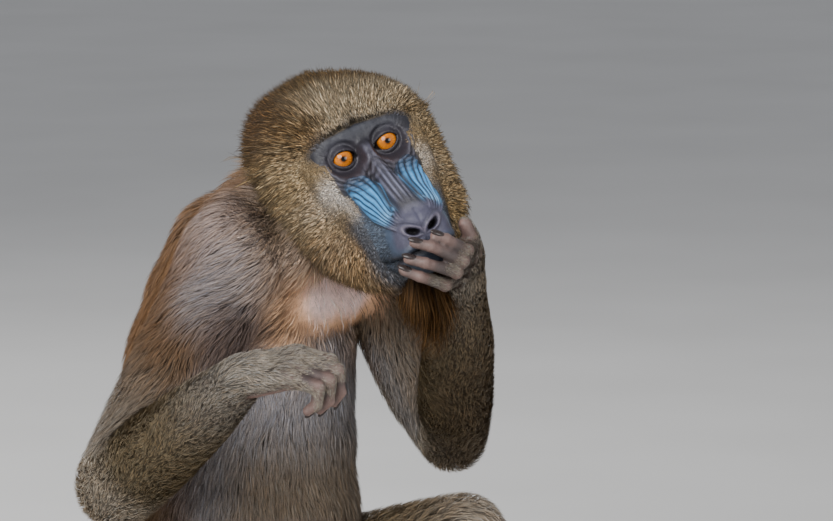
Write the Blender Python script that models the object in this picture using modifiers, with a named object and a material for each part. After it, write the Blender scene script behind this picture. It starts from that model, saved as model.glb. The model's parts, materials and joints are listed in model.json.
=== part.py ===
"""A sitting female mandrill at life size, as a still museum model.

She sits on her rump with her knees drawn up and her feet flat. The left hand lies across her mouth and the
right hand is held out, loosely closed. Metres, +Z up, body facing -Y, origin under the rump on the ground.
"""

import math

import bmesh
import bpy
import numpy as np
from mathutils import Matrix, Vector
from mathutils.bvhtree import BVHTree

# Driving sizes, in metres
GAP = 0.0003
GROUND = 0.0
EYE_RADIUS = 0.0105
EYE_SPACING = 0.036

# Places of the joints on the body
HIP = {1: Vector((0.058, -0.012, 0.088)), -1: Vector((-0.058, -0.012, 0.088))}
KNEE = {1: Vector((0.079, -0.170, 0.159)), -1: Vector((-0.096, -0.172, 0.153))}
ANKLE = {1: Vector((0.098, -0.282, 0.040)), -1: Vector((-0.104, -0.278, 0.040))}
SHOULDER = {1: Vector((0.072, -0.080, 0.378)), -1: Vector((-0.074, -0.072, 0.378))}
ELBOW = {1: Vector((0.076, -0.162, 0.233)), -1: Vector((-0.141, -0.014, 0.210))}
WRIST = {1: Vector((-0.0102, -0.2408, 0.3639)), -1: Vector((-0.170, -0.165, 0.311))}
SIDES = {1: "left", -1: "right"}

# The head's own frame: x to its left, y to the back, z up, from the point midway between the eyes
HEAD_AT = Vector((-0.0345, -0.1662, 0.4669))
HEAD_LEFT = Vector((0.7772, -0.5232, 0.3495))
HEAD_BACK = Vector((0.5871, 0.8028, -0.1039))
HEAD_UP = Vector((-0.2263, 0.2860, 0.9311))

COLOURS = {
    "coat": ((0.17, 0.125, 0.07, 1), 0.85),
    "skin": ((0.07, 0.065, 0.075, 1), 0.6),
    "hand_skin": ((0.10, 0.07, 0.065, 1), 0.6),
    "eye": ((0.55, 0.2, 0.03, 1), 0.15),
}


def clear_scene():
    """Take away whatever the file starts with."""
    for obj in list(bpy.data.objects):
        bpy.data.objects.remove(obj)


def material(name):
    """The named material from the table of colours, made once."""
    colour, roughness = COLOURS[name]
    made = bpy.data.materials.get(name) or bpy.data.materials.new(name)
    made.use_nodes = True
    shader = made.node_tree.nodes["Principled BSDF"]
    shader.inputs["Base Color"].default_value = colour
    shader.inputs["Roughness"].default_value = roughness
    made.diffuse_color = colour
    return made


def collection(name):
    """A new collection in the scene."""
    made = bpy.data.collections.new(name)
    bpy.context.scene.collection.children.link(made)
    return made


def mesh_object(name, mesh, home):
    """A new object of the mesh, in the home collection."""
    made = bpy.data.objects.new(name, mesh)
    home.objects.link(made)
    return made


def evaluated_copy(obj):
    """A new mesh of the object as its modifiers leave it, in world space."""
    bpy.context.view_layer.update()
    graph = bpy.context.evaluated_depsgraph_get()
    mesh = bpy.data.meshes.new_from_object(obj.evaluated_get(graph))
    mesh.transform(obj.matrix_world)
    return mesh


def drop(obj):
    """Remove a helper object."""
    bpy.data.objects.remove(obj)


def ball(home, centre, radii, turn=None):
    """An ellipsoid with its three half widths, turned by an optional rotation matrix."""
    mesh = bpy.data.meshes.new("ball")
    work = bmesh.new()
    bmesh.ops.create_uvsphere(work, u_segments=28, v_segments=16, radius=1.0)
    work.to_mesh(mesh)
    work.free()
    mesh.transform(Matrix.Diagonal(Vector(radii).to_4d()))
    if turn is not None:
        mesh.transform(turn.to_4x4())
    mesh.transform(Matrix.Translation(centre))
    return mesh_object("ball", mesh, home)


def limb(home, points, radii):
    """A round tapering tube through the points, with a ball at each end."""
    curve = bpy.data.curves.new("limb", "CURVE")
    curve.dimensions = "3D"
    curve.bevel_depth = 1.0
    curve.bevel_resolution = 4
    curve.resolution_u = 8
    curve.use_fill_caps = True
    spline = curve.splines.new("BEZIER")
    spline.bezier_points.add(len(points) - 1)
    for point, place, radius in zip(spline.bezier_points, points, radii):
        point.co = place
        point.radius = radius
        point.handle_left_type = point.handle_right_type = "AUTO"
    obj = bpy.data.objects.new("limb", curve)
    home.objects.link(obj)
    made = mesh_object("limb_mesh", evaluated_copy(obj), home)
    drop(obj)
    ends = [ball(home, Vector(points[0]), (radii[0],) * 3), ball(home, Vector(points[-1]), (radii[-1],) * 3)]
    return joined("limb", [made] + ends, home)


def joined(name, pieces, home):
    """One object that holds all the pieces' meshes, which are then removed."""
    work = bmesh.new()
    for piece in pieces:
        mesh = evaluated_copy(piece)
        work.from_mesh(mesh)
        bpy.data.meshes.remove(mesh)
    for piece in pieces:
        drop(piece)
    bmesh.ops.remove_doubles(work, verts=work.verts, dist=0.00002)
    bmesh.ops.recalc_face_normals(work, faces=work.faces)
    mesh = bpy.data.meshes.new(name)
    work.to_mesh(mesh)
    work.free()
    return mesh_object(name, mesh, home)


def fused(name, pieces, home, voxel, smoothing, triangles):
    """The pieces melted into one closed skin of about that many triangles."""
    lump = joined(name, pieces, home)
    melt = lump.modifiers.new("melt", "REMESH")
    melt.mode = "VOXEL"
    melt.voxel_size = voxel
    relax = lump.modifiers.new("relax", "SMOOTH")
    relax.factor = 0.5
    relax.iterations = smoothing
    mesh = evaluated_copy(lump)
    drop(lump)
    found = mesh_object(name, mesh, home)
    thin = found.modifiers.new("thin", "DECIMATE")
    thin.ratio = min(1.0, triangles / max(1, 2 * len(mesh.polygons)))
    mesh = evaluated_copy(found)
    drop(found)
    return mesh_object(name, largest_only(mesh), home)


def largest_only(mesh):
    """The mesh with only its largest closed surface."""
    work = bmesh.new()
    work.from_mesh(mesh)
    bmesh.ops.triangulate(work, faces=work.faces)
    left = set(work.verts)
    islands = []
    while left:
        stack = [left.pop()]
        island = set(stack)
        while stack:
            for edge in stack.pop().link_edges:
                for vert in edge.verts:
                    if vert in left:
                        left.discard(vert)
                        island.add(vert)
                        stack.append(vert)
        islands.append(island)
    islands.sort(key=len)
    for island in islands[:-1]:
        bmesh.ops.delete(work, geom=list(island), context="VERTS")
    work.to_mesh(mesh)
    work.free()
    return mesh


def combine(target, cutter, operation, solver="MANIFOLD"):
    """Joins, cuts or keeps the common part of two objects, for good."""
    step = target.modifiers.new(operation, "BOOLEAN")
    step.operation = operation
    step.solver = solver
    step.object = cutter
    mesh = evaluated_copy(target)
    target.modifiers.clear()
    target.data = mesh
    return target


def grown(obj, amount, home):
    """A copy of the object swollen along its normals."""
    mesh = evaluated_copy(obj)
    work = bmesh.new()
    work.from_mesh(mesh)
    work.normal_update()
    reach = {vert: min(vert.calc_shell_factor(), 3.0) for vert in work.verts}
    for vert, factor in reach.items():
        vert.co += vert.normal * amount * factor
    work.to_mesh(mesh)
    work.free()
    return mesh_object(obj.name + "_grown", mesh, home)


def trimmed(obj, point, normal, home, name):
    """A closed copy of the part of the object that lies behind a plane."""
    mesh = evaluated_copy(obj)
    work = bmesh.new()
    work.from_mesh(mesh)
    cut = bmesh.ops.bisect_plane(
        work,
        geom=work.verts[:] + work.edges[:] + work.faces[:],
        dist=0.000001,
        plane_co=point,
        plane_no=normal,
        clear_outer=True,
    )
    rim = [item for item in cut["geom_cut"] if isinstance(item, bmesh.types.BMEdge)]
    bmesh.ops.holes_fill(work, edges=rim, sides=0)
    bmesh.ops.remove_doubles(work, verts=work.verts, dist=0.000005)
    bmesh.ops.recalc_face_normals(work, faces=work.faces)
    work.to_mesh(mesh)
    work.free()
    return mesh_object(name, largest_only(mesh), home)


def split(obj, point, normal, names, home):
    """Two closed parts on either side of a plane, a small gap apart."""
    normal = Vector(normal).normalized()
    near = trimmed(obj, Vector(point) - normal * GAP / 2, normal, home, names[0])
    far = trimmed(obj, Vector(point) + normal * GAP / 2, -normal, home, names[1])
    drop(obj)
    return near, far


def trunk(home):
    """Rump, belly, chest and shoulders to the tips of the coat."""
    lean = Matrix.Rotation(math.radians(20), 3, "X")
    slope = Matrix.Rotation(math.radians(12), 3, "X")
    pieces = [
        ball(home, Vector((0, 0.006, 0.080)), (0.086, 0.082, 0.084)),
        ball(home, Vector((0, -0.004, 0.120)), (0.089, 0.090, 0.095), slope),
        ball(home, Vector((0, -0.014, 0.170)), (0.089, 0.096, 0.100), slope),
        ball(home, Vector((0, -0.010, 0.222)), (0.083, 0.098, 0.105), lean),
        ball(home, Vector((0, -0.010, 0.272)), (0.079, 0.100, 0.104), lean),
        ball(home, Vector((0, -0.024, 0.318)), (0.080, 0.092, 0.088), lean),
        ball(home, Vector((0, -0.040, 0.352)), (0.080, 0.086, 0.070), lean),
        ball(home, Vector((0, -0.022, 0.372)), (0.066, 0.064, 0.050), lean),
        ball(home, Vector((-0.004, -0.048, 0.402)), (0.051, 0.050, 0.044)),
        ball(home, Vector((-0.010, -0.096, 0.376)), (0.040, 0.031, 0.036)),
    ]
    # slopes from the neck to the shoulders, and the breast below them
    for side in SIDES:
        pieces.append(ball(home, Vector((side * 0.048, -0.062, 0.392)), (0.040, 0.046, 0.040)))
        pieces.append(ball(home, Vector((side * 0.044, -0.080, 0.356)), (0.042, 0.034, 0.046)))
    return fused("trunk", pieces, home, 0.0055, 14, 1300)


def arm(side, home):
    """Shoulder, upper arm and forearm to the tips of the coat, slimmer at the elbow that is bent up."""
    shoulder, elbow, wrist = SHOULDER[side], ELBOW[side], WRIST[side]
    above = shoulder.lerp(elbow, 0.35)
    below = shoulder.lerp(elbow, 0.72)
    fore = elbow.lerp(wrist, 0.30)
    slim = elbow.lerp(wrist, 0.68)
    inner = Vector((side * 0.046, shoulder.y + 0.008, shoulder.z + 0.004))
    bend, swell = (0.0275, 0.0325) if side == 1 else (0.0350, 0.0360)
    pieces = [
        ball(home, shoulder, (0.0425, 0.0470, 0.0480)),
        limb(home, [inner, shoulder], [0.042, 0.043]),
        limb(home, [shoulder, above, below, elbow], [0.0425, 0.0400, 0.0375, bend]),
        limb(home, [elbow, fore, slim, wrist], [bend, swell, 0.0300, 0.0210]),
    ]
    return fused("arm", pieces, home, 0.0045, 6, 740)


def leg(side, home):
    """The thigh and the shin of one leg, from the hip to the ankle."""
    hip, knee, ankle = HIP[side], KNEE[side], ANKLE[side]
    upper = hip.lerp(knee, 0.38)
    lower = hip.lerp(knee, 0.74)
    calf = knee.lerp(ankle, 0.30) + Vector((0, 0.006, 0))
    thin = knee.lerp(ankle, 0.70)
    pieces = [
        limb(home, [hip, upper, lower, knee], [0.056, 0.051, 0.044, 0.036]),
        limb(home, [knee, calf, thin, ankle], [0.035, 0.036, 0.028, 0.0215]),
        ball(home, knee + Vector((0, -0.006, 0.002)), (0.034, 0.032, 0.034)),
    ]
    return fused("leg", pieces, home, 0.0045, 6, 700)


def tail(home):
    """The short upright stump with its brush of hair."""
    points = [(0, 0.045, 0.105), (0, 0.088, 0.128), (0, 0.112, 0.165), (0, 0.112, 0.196)]
    pieces = [limb(home, [Vector(p) for p in points], [0.020, 0.018, 0.016, 0.007])]
    return fused("tail", pieces, home, 0.003, 3, 180)


# The bare head's sections from the lips to the back of the skull, in metres in the head's own frame
# y, top, bottom, half width, height of the widest point, squareness
HEAD_SECTIONS = [
    (-0.0945, -0.062, -0.070, 0.0040, -0.066, 2.2),
    (-0.0930, -0.054, -0.080, 0.0140, -0.067, 2.4),
    (-0.0890, -0.049, -0.087, 0.0195, -0.067, 2.5),
    (-0.0800, -0.0445, -0.0935, 0.0230, -0.067, 2.6),
    (-0.0660, -0.037, -0.096, 0.0255, -0.064, 2.6),
    (-0.0500, -0.0275, -0.096, 0.0285, -0.060, 2.6),
    (-0.0350, -0.0175, -0.094, 0.0330, -0.052, 2.6),
    (-0.0220, -0.008, -0.092, 0.0380, -0.040, 2.8),
    (-0.0120, 0.006, -0.091, 0.0425, -0.025, 3.0),
    (-0.0040, 0.017, -0.090, 0.0445, -0.015, 3.1),
    (0.0100, 0.027, -0.088, 0.0465, -0.008, 3.0),
    (0.0300, 0.037, -0.084, 0.0485, -0.002, 2.6),
    (0.0550, 0.044, -0.077, 0.0495, 0.000, 2.3),
    (0.0800, 0.041, -0.065, 0.0470, 0.000, 2.2),
    (0.1000, 0.031, -0.048, 0.0390, -0.003, 2.1),
    (0.1150, 0.014, -0.026, 0.0260, -0.006, 2.0),
    (0.1200, 0.000, -0.010, 0.0060, -0.005, 2.0),
]


def smooth(value):
    """A soft step from 0 to 1."""
    value = np.clip(value, 0.0, 1.0)
    return value * value * (3.0 - 2.0 * value)


def bell(value, width):
    """One at zero, falling off smoothly over the width."""
    return np.exp(-((value / width) ** 2))


def section_at(place):
    """The head's section at a place counted in stations, by a smooth curve through them."""
    table = np.array(HEAD_SECTIONS)
    last = len(table) - 1
    place = np.clip(place, 0.0, last)
    low = np.clip(np.floor(place).astype(int), 0, last - 1)
    part = (place - low)[:, None]
    before = table[np.clip(low - 1, 0, last)]
    start = table[low]
    end = table[low + 1]
    after = table[np.clip(low + 2, 0, last)]
    leave = (end - before) / 2
    arrive = (after - start) / 2
    square = part * part
    cube = square * part
    curve = (2 * cube - 3 * square + 1) * start + (cube - 2 * square + part) * leave
    return curve + (3 * square - 2 * cube) * end + (cube - square) * arrive


def head_surface(rows, around):
    """Points of the bare head on a grid, with the distance from the top line along each section."""
    table = np.array(HEAD_SECTIONS)
    steps = np.hypot(np.diff(table[:, 0]), np.diff(table[:, 1]))
    run = np.concatenate([[0.0], np.cumsum(np.maximum(steps, 0.006))])
    wanted = np.linspace(0.0, run[-1], rows)
    place = np.interp(wanted, run, np.arange(len(table)))
    shape = section_at(place)
    angle = np.linspace(-math.pi, math.pi, around, endpoint=False)
    # a little denser over the top of the face than under the jaw
    angle = angle - 0.28 * np.sin(angle)
    sine, cosine = np.sin(angle)[None, :], np.cos(angle)[None, :]
    power = 2.0 / shape[:, 5:6]
    x = shape[:, 3:4] * np.sign(sine) * np.abs(sine) ** power
    rise = np.where(cosine > 0, shape[:, 1:2] - shape[:, 4:5], shape[:, 4:5] - shape[:, 2:3])
    z = shape[:, 4:5] + rise * np.sign(cosine) * np.abs(cosine) ** power
    y = np.broadcast_to(shape[:, 0:1], x.shape).copy()
    return np.stack([x, y, z], axis=-1)


def grid_normals(points):
    """Outward normals of a grid that is closed around its second axis."""
    along = np.gradient(points, axis=0)
    across = (np.roll(points, -1, axis=1) - np.roll(points, 1, axis=1)) / 2
    normal = np.cross(across, along)
    normal[0] = (0, -1, 0)
    normal[-1] = (0, 1, 0)
    length = np.linalg.norm(normal, axis=-1, keepdims=True)
    return normal / np.maximum(length, 1e-9)


def coat_share(points):
    """How far a place on the head is into the long coat, 0 on the face and 1 on crown and cheeks."""
    x, y, z = points[..., 0], points[..., 1], points[..., 2]
    edge = np.interp(
        z,
        [-0.100, -0.095, -0.080, -0.060, -0.040, -0.020, 0.000, 0.012, 0.018, 0.022],
        [-0.066, -0.060, -0.046, -0.032, -0.020, -0.007, 0.003, 0.002, -0.010, -0.016],
    )
    return smooth((y - edge) / 0.020)


def full_coat(points):
    """The full depth of the coat over places on the head, more on her right, where it is brushed up."""
    x, z = points[..., 0], points[..., 2]
    depth = np.interp(z, [-0.09, -0.05, 0.0, 0.02, 0.04], [0.018, 0.024, 0.0245, 0.0220, 0.0200])
    return depth - (0.0045 * smooth((z + 0.06) / 0.05) + 0.0040 * smooth(z / 0.03)) * np.tanh(x / 0.022)


def face_relief(points, normal, ridges):
    """The face's bones and folds, pushed out along the surface; ridges adds the fine lines."""
    x, y, z = points[..., 0], points[..., 1], points[..., 2]
    side = np.abs(x)
    push = np.zeros_like(x)
    # nose ridge, wider towards the tip, with a furrow on each side
    stations = [-0.094, -0.088, -0.070, -0.045, -0.020, -0.010]
    half = np.interp(y, stations, [0.013, 0.0125, 0.0085, 0.0065, 0.005, 0.004])
    on_top = smooth((z + 0.066) / 0.012) * smooth((0.010 - z) / 0.008) * smooth((0.004 - y) / 0.008)
    push += 0.0042 * on_top * np.exp(-((side / half) ** 4))
    push -= 0.0022 * on_top * bell(side - half - 0.0035, 0.0026) * smooth((y + 0.084) / 0.010)
    # the swollen flanks of the nose
    spread = 0.010 * np.clip((y + 0.042) / 0.020, 0, 1.6) ** 2
    middle = np.interp(y, [-0.082, -0.070, -0.050, -0.030, -0.020], [0.0165, 0.0185, 0.019, 0.019, 0.020])
    middle = middle + 0.6 * spread
    swell = smooth((y + 0.086) / 0.012) * smooth((-0.012 - y) / 0.012)
    flank = swell * np.exp(-(((side - middle) / 0.0105) ** 4)) * smooth((z + 0.078) / 0.012)
    push += 0.0046 * flank
    if ridges:
        across = side - (middle - 0.0105) - 0.25 * np.clip(-z - 0.030, 0, 0.03)
        pitch = np.interp(y, [-0.080, -0.030], [0.0026, 0.0037])
        away = np.abs((across / pitch) % 1.0 - 0.5) * 2.0
        push += ridges * flank * (0.5 - (1.0 - away) ** 3)
    # brow bar
    bar = np.exp(-((side / 0.040) ** 6))
    push += 0.0042 * bar * bell(z - 0.0165 - 0.10 * (0.02 - side), 0.0062) * smooth((0.012 - y) / 0.010)
    # sockets
    ring = np.hypot(side - EYE_SPACING / 2, z + 0.0005)
    front = smooth((0.008 - y) / 0.008)
    push -= 0.0036 * front * np.exp(-((ring / 0.0155) ** 4))
    # mouth line with the lips' edges
    level = np.interp(side, [0.0, 0.012, 0.020, 0.027], [-0.0745, -0.0755, -0.0775, -0.0790])
    reach = smooth((-0.046 - y) / 0.006)
    push -= 0.0030 * reach * bell(z - level, 0.0013)
    push += 0.0012 * reach * (bell(z - level - 0.0042, 0.0026) + bell(z - level + 0.0045, 0.0026))
    # groove under the nose
    push -= 0.0008 * bell(x, 0.0013) * smooth((-0.086 - y) / 0.003) * smooth((z + 0.074) / 0.004)
    # nostrils: a rim and a pit, deeper towards the middle of the opening
    u = (side - 0.0088) * 0.88 + (z + 0.0600) * 0.47
    w = -(side - 0.0088) * 0.47 + (z + 0.0600) * 0.88 - 12.0 * np.clip(u, -0.01, 0.01) ** 2
    hole = np.hypot(u / 0.0056, w / 0.0036)
    at_tip = smooth((-0.080 - y) / 0.004)
    push += 0.0016 * at_tip * bell(hole - 1.35, 0.33)
    push -= 0.0075 * at_tip * smooth((1.12 - hole) / 0.55)
    return push


def lids(points):
    """Draws the surface round each eye onto a ball, with an opening between two lids."""
    x, y, z = points[..., 0], points[..., 1], points[..., 2]
    for side in (1, -1):
        centre = np.array([side * EYE_SPACING / 2, 0.0, 0.0])
        across = (x - centre[0]) * side
        near = np.hypot(across, z - 0.0003)
        front = (y < 0.004)
        outer = 0.0122
        depth = np.sqrt(np.maximum(outer ** 2 - np.minimum(near, outer * 0.94) ** 2, 0.0))
        on_ball = -depth
        blend = smooth((0.0150 - near) / 0.0050) * front
        # the opening: almond with a pointed inner corner
        span = np.clip(across + 0.0008, -0.0118, 0.0098)
        length = np.where(span > 0, 0.0098, 0.0118)
        upper = 0.0070 * np.maximum(1 - (np.abs(span) / length) ** 2.3, 0) ** 0.8
        lower = 0.0058 * np.maximum(1 - (np.abs(span) / length) ** 2.0, 0) ** 0.8
        upper = np.where(span < 0, upper * (1 - 0.25 * (span / 0.0118) ** 2), upper)
        tilt = 0.06 * across
        lift = z - tilt
        inside = np.where(lift > 0, upper - lift, lower + lift)
        inside = np.where(np.abs(across + 0.0008) > length, -0.001, inside)
        open_share = smooth((inside + 0.0003) / 0.0011)
        rim = bell(inside + 0.0012, 0.0010)
        fold = bell(inside + 0.0042, 0.0008) * (z > 0) + 0.7 * bell(inside + 0.0040, 0.0008) * (z < 0)
        target = on_ball - 0.0006 * rim + 0.0007 * fold
        y = np.where(front, y * (1 - blend) + target * blend, y)
        y = y + front * open_share * blend * 0.0042
    points = points.copy()
    points[..., 1] = y
    return points


def head_grid(rows, around, coat_depth, ridges=0.0):
    """The head on a grid: bare skull, relief, lids, and the coat's depth laid over crown and cheeks."""
    base = head_surface(rows, around)
    normal = grid_normals(base)
    push = face_relief(base, normal, ridges)
    share = coat_share(base)
    shaped = base + normal * (push * (1 - share))[..., None]
    shaped = lids(shaped)
    shaped = shaped + normal * (share * full_coat(base) * coat_depth)[..., None]
    return shaped, share


def grid_mesh(name, points):
    """A closed mesh over a grid, its first and last rows drawn together into one point each."""
    rows, around = points.shape[:2]
    work = bmesh.new()
    bmesh.ops.create_grid(work, x_segments=rows - 1, y_segments=around, size=1.0)
    work.verts.ensure_lookup_table()
    found = {}
    for vert in work.verts:
        row = int(round((vert.co.x + 1) / 2 * (rows - 1)))
        column = int(round((vert.co.y + 1) / 2 * around)) % around
        found[vert] = (row, column)
    ends = {0: points[0].mean(axis=0), rows - 1: points[-1].mean(axis=0)}
    for vert, (row, column) in found.items():
        vert.co = Vector(ends[row]) if row in ends else Vector(points[row, column])
    bmesh.ops.remove_doubles(work, verts=work.verts, dist=0.0000001)
    bmesh.ops.recalc_face_normals(work, faces=work.faces)
    mesh = bpy.data.meshes.new(name)
    work.to_mesh(mesh)
    work.free()
    return mesh


def head_turn():
    """The matrix that carries the head's own frame into the world."""
    turn = Matrix((HEAD_LEFT, HEAD_BACK, HEAD_UP)).transposed().to_4x4()
    return Matrix.Translation(HEAD_AT) @ turn


def in_head(x, y, z):
    """A place in the head's frame, as a place in the world."""
    return head_turn() @ Vector((x, y, z))


def thinned(obj, triangles, home, name):
    """A copy of the object with about that many triangles."""
    mesh = evaluated_copy(obj)
    work = bmesh.new()
    work.from_mesh(mesh)
    bmesh.ops.triangulate(work, faces=work.faces)
    count = len(work.faces)
    work.to_mesh(mesh)
    work.free()
    drop(obj)
    made = mesh_object(name, mesh, home)
    step = made.modifiers.new("thin", "DECIMATE")
    step.ratio = min(1.0, triangles / count)
    mesh = evaluated_copy(made)
    made.modifiers.clear()
    made.data = mesh
    return made


def head(home, coat_depth, triangles):
    """The head to its coat's core."""
    points, share = head_grid(150, 180, coat_depth)
    mesh = grid_mesh("head", points)
    mesh.transform(head_turn())
    return thinned(mesh_object("head_whole", mesh, home), triangles, home, "head")


def open_sockets(skull, home):
    """Makes room in the head for the eyes."""
    for side in (1, -1):
        socket = ball(home, in_head(side * EYE_SPACING / 2, 0, 0), (EYE_RADIUS + GAP * 1.5,) * 3)
        room = thinned(socket, 300, home, "room")
        combine(skull, room, "DIFFERENCE")
        drop(room)
    skull.data = mended(largest_only(skull.data))


def head_place(place, angle, lift):
    """A point over the bare head, from its station, its angle from the top line and its height."""
    def bare(where, turn):
        """A point on the skull's section, a share of the way along it."""
        shape = section_at(np.array([where]))[0]
        sine, cosine = math.sin(turn), math.cos(turn)
        power = 2.0 / shape[5]
        across = shape[3] * math.copysign(abs(sine) ** power, sine)
        rise = shape[1] - shape[4] if cosine > 0 else shape[4] - shape[2]
        return Vector((across, shape[0], shape[4] + rise * math.copysign(abs(cosine) ** power, cosine)))
    here = bare(place, angle)
    along = bare(place + 0.05, angle) - bare(place - 0.05, angle)
    around = bare(place, angle + 0.04) - bare(place, angle - 0.04)
    outward = along.cross(around).normalized()
    if outward.dot(here - Vector((0, here.y + 0.01, -0.02))) < 0:
        outward = -outward
    return here + outward * lift, outward


def lock(home, path, outwards, width, thickness):
    """A flat lock of hair that follows a path, widest near its root and drawn out to a point."""
    work = bmesh.new()
    bmesh.ops.create_uvsphere(work, u_segments=6, v_segments=6, radius=1.0)
    last = len(path) - 1
    for vert in work.verts:
        share = (1.0 - vert.co.z) / 2.0
        place = share * last
        low = min(int(place), last - 1)
        part = place - low
        middle = path[low].lerp(path[low + 1], part)
        tangent = (path[min(low + 2, last)] - path[max(low - 1, 0)]).normalized()
        outward = outwards[low].lerp(outwards[low + 1], part)
        side = tangent.cross(outward).normalized()
        face = side.cross(tangent).normalized()
        flat = math.hypot(vert.co.x, vert.co.y)
        turn = math.atan2(vert.co.y, vert.co.x)
        body = math.sin(math.pi * min(1.0, share)) ** 0.55 * (1.0 - 0.62 * share) if flat > 0.001 else 0.0
        vert.co = middle + (side * math.cos(turn) * width + face * math.sin(turn) * thickness) * body
    bmesh.ops.recalc_face_normals(work, faces=work.faces)
    mesh = bpy.data.meshes.new("lock")
    work.to_mesh(mesh)
    work.free()
    return mesh_object("lock", mesh, home)


def coat_lift(point):
    """The full depth of the coat over a single place on the head."""
    return float(full_coat(np.array([[point.x, point.y, point.z]]))[0])


def share_at(point):
    """How far a single place is into the long coat."""
    return float(coat_share(np.array([[point.x, point.y, point.z]]))[0])


def further(place, angle, distance):
    """The station reached by going back over the head by a distance."""
    here = head_place(place, angle, 0.0)[0]
    while distance > 0 and place < 15.9:
        place += 0.1
        there = head_place(place, angle, 0.0)[0]
        distance -= (there - here).length
        here = there
    return place


def clear_run(path, keep_off):
    """How many of a path's points come before the first that meets something, past its sunk root."""
    for number, point in enumerate(path):
        if number > 0 and not keep_off(point):
            return number
    return len(path)


# The beard's locks: distance across, distance back, length and lean
BEARD = [
    (-0.012, -0.062, 0.050, -2),
    (0.000, -0.066, 0.052, 0),
    (0.013, -0.062, 0.052, 3),
    (-0.018, -0.046, 0.048, -4),
    (0.000, -0.050, 0.054, 0),
    (0.018, -0.046, 0.054, 5),
    (-0.009, -0.034, 0.046, -2),
    (0.010, -0.034, 0.050, 3),
]


def ruff_locks(home, keep_off):
    """Rows of overlapping locks over the crown, cheeks and nape, and the beard under the jaw."""
    random = np.random.default_rng(11)
    turn = head_turn()
    made = []
    for row in range(8):
        for side in (1, -1):
            for number in range(9):
                angle = 0.16 + 0.315 * number + (0.15 if row % 2 else 0.0) + float(random.normal(0, 0.03))
                if angle > 2.95:
                    continue
                edge = 4.0
                while share_at(head_place(edge, side * angle, 0.0)[0]) < 0.06:
                    edge += 0.1
                start = further(edge, side * angle, 0.0215 * row + float(random.normal(0, 0.0015)))
                if start > 14.2:
                    continue
                length = 0.045 + float(random.normal(0, 0.003))
                droop = 0.16 * math.sin(angle) + float(random.normal(0, 0.04))
                path, outwards = [], []
                where = start
                for step in range(6):
                    share = step / 5.0
                    spin = side * (angle + droop * share ** 1.4)
                    here, outward = head_place(min(where, 15.8), spin, 0.0)
                    depth = coat_lift(here) * max(share_at(here), 0.16)
                    rise = float(np.interp(share, [0, 0.2, 0.4, 0.7, 1.0], [0.24, 0.66, 0.84, 0.94, 1.0]))
                    path.append(turn @ (here + outward * depth * rise))
                    outwards.append(turn.to_3x3() @ outward)
                    where = further(where, spin, length / 5.0)
                free = clear_run(path, keep_off)
                if free >= 4:
                    made.append(lock(home, path[:free], outwards[:free], 0.0115, 0.0036))
    for across, back, length, lean in BEARD:
        path = []
        for step in range(6):
            share = step / 5.0
            hang = Vector((-0.33 + 0.04 * lean, 0.10 + 0.10 * share, -0.93)) * (length * share)
            path.append(turn @ (Vector((across, back, -0.084)) + hang))
        outwards = [turn.to_3x3() @ Vector((0, -1, -0.2)).normalized()] * 6
        free = clear_run(path, keep_off)
        if free >= 4:
            made.append(lock(home, path[:free], outwards[:free], 0.0095, 0.0040))
    return made


def away_from(obstacles):
    """A test that a point lies outside each obstacle by that obstacle's own margin."""
    trees = []
    for obj, margin, depth in obstacles:
        work = bmesh.new()
        work.from_mesh(obj.data)
        trees.append((BVHTree.FromBMesh(work), margin, depth))
        work.free()

    def test(point):
        """True where the point keeps clear of every tree."""
        for tree, margin, depth in trees:
            near, normal, _, gap = tree.find_nearest(point)
            outside = gap if gap > depth or (point - near).dot(normal) > 0 else -gap
            if outside < margin:
                return False
        return True

    return test


def mended(mesh):
    """Closes the mesh again wherever more or fewer than two faces share an edge."""
    work = bmesh.new()
    work.from_mesh(mesh)
    bmesh.ops.triangulate(work, faces=work.faces)
    for _ in range(8):
        bmesh.ops.remove_doubles(work, verts=work.verts, dist=0.000002)
        poor = [edge for edge in work.edges if len(edge.link_faces) != 2]
        if not poor:
            break
        bmesh.ops.delete(work, geom=list({vert for edge in poor for vert in edge.verts}), context="VERTS")
        rim = [edge for edge in work.edges if len(edge.link_faces) == 1]
        bmesh.ops.holes_fill(work, edges=rim, sides=0)
        bmesh.ops.triangulate(work, faces=work.faces)
        bmesh.ops.delete(work, geom=[edge for edge in work.edges if not edge.link_faces], context="EDGES")
    bmesh.ops.recalc_face_normals(work, faces=work.faces)
    if work.calc_volume(signed=True) < 0:
        bmesh.ops.reverse_faces(work, faces=work.faces)
    work.to_mesh(mesh)
    work.free()
    return mesh


def with_locks(core, locks, triangles, home):
    """The core and all its locks melted into one closed body of about that many triangles."""
    tresses = bpy.data.collections.new("tresses")
    bpy.context.scene.collection.children.link(tresses)
    for item in locks:
        home.objects.unlink(item)
        tresses.objects.link(item)
    step = core.modifiers.new("tresses", "BOOLEAN")
    step.operation = "UNION"
    step.solver = "MANIFOLD"
    step.operand_type = "COLLECTION"
    step.collection = tresses
    mesh = evaluated_copy(core)
    core.modifiers.clear()
    core.data = mended(largest_only(mesh))
    for item in locks:
        drop(item)
    bpy.data.collections.remove(tresses)
    core = thinned(core, triangles, home, core.name)
    core.data = mended(core.data)
    return core


def eye(side, home):
    """One eyeball."""
    return ball(home, in_head(side * EYE_SPACING / 2, 0, 0), (EYE_RADIUS,) * 3)


# The hands' own frames: along the palm to the fingers, the way the palm faces, and towards the thumb
HAND_ALONG = {1: Vector((-0.546, -0.539, 0.641)), -1: Vector((0.463, -0.834, 0.300))}
HAND_PALM = {1: Vector((-0.397, 0.841, 0.369)), -1: Vector((0.492, -0.040, -0.870))}
HAND_THUMB = {1: Vector((0.738, 0.052, 0.674)), -1: Vector((0.738, 0.550, 0.392))}
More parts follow.
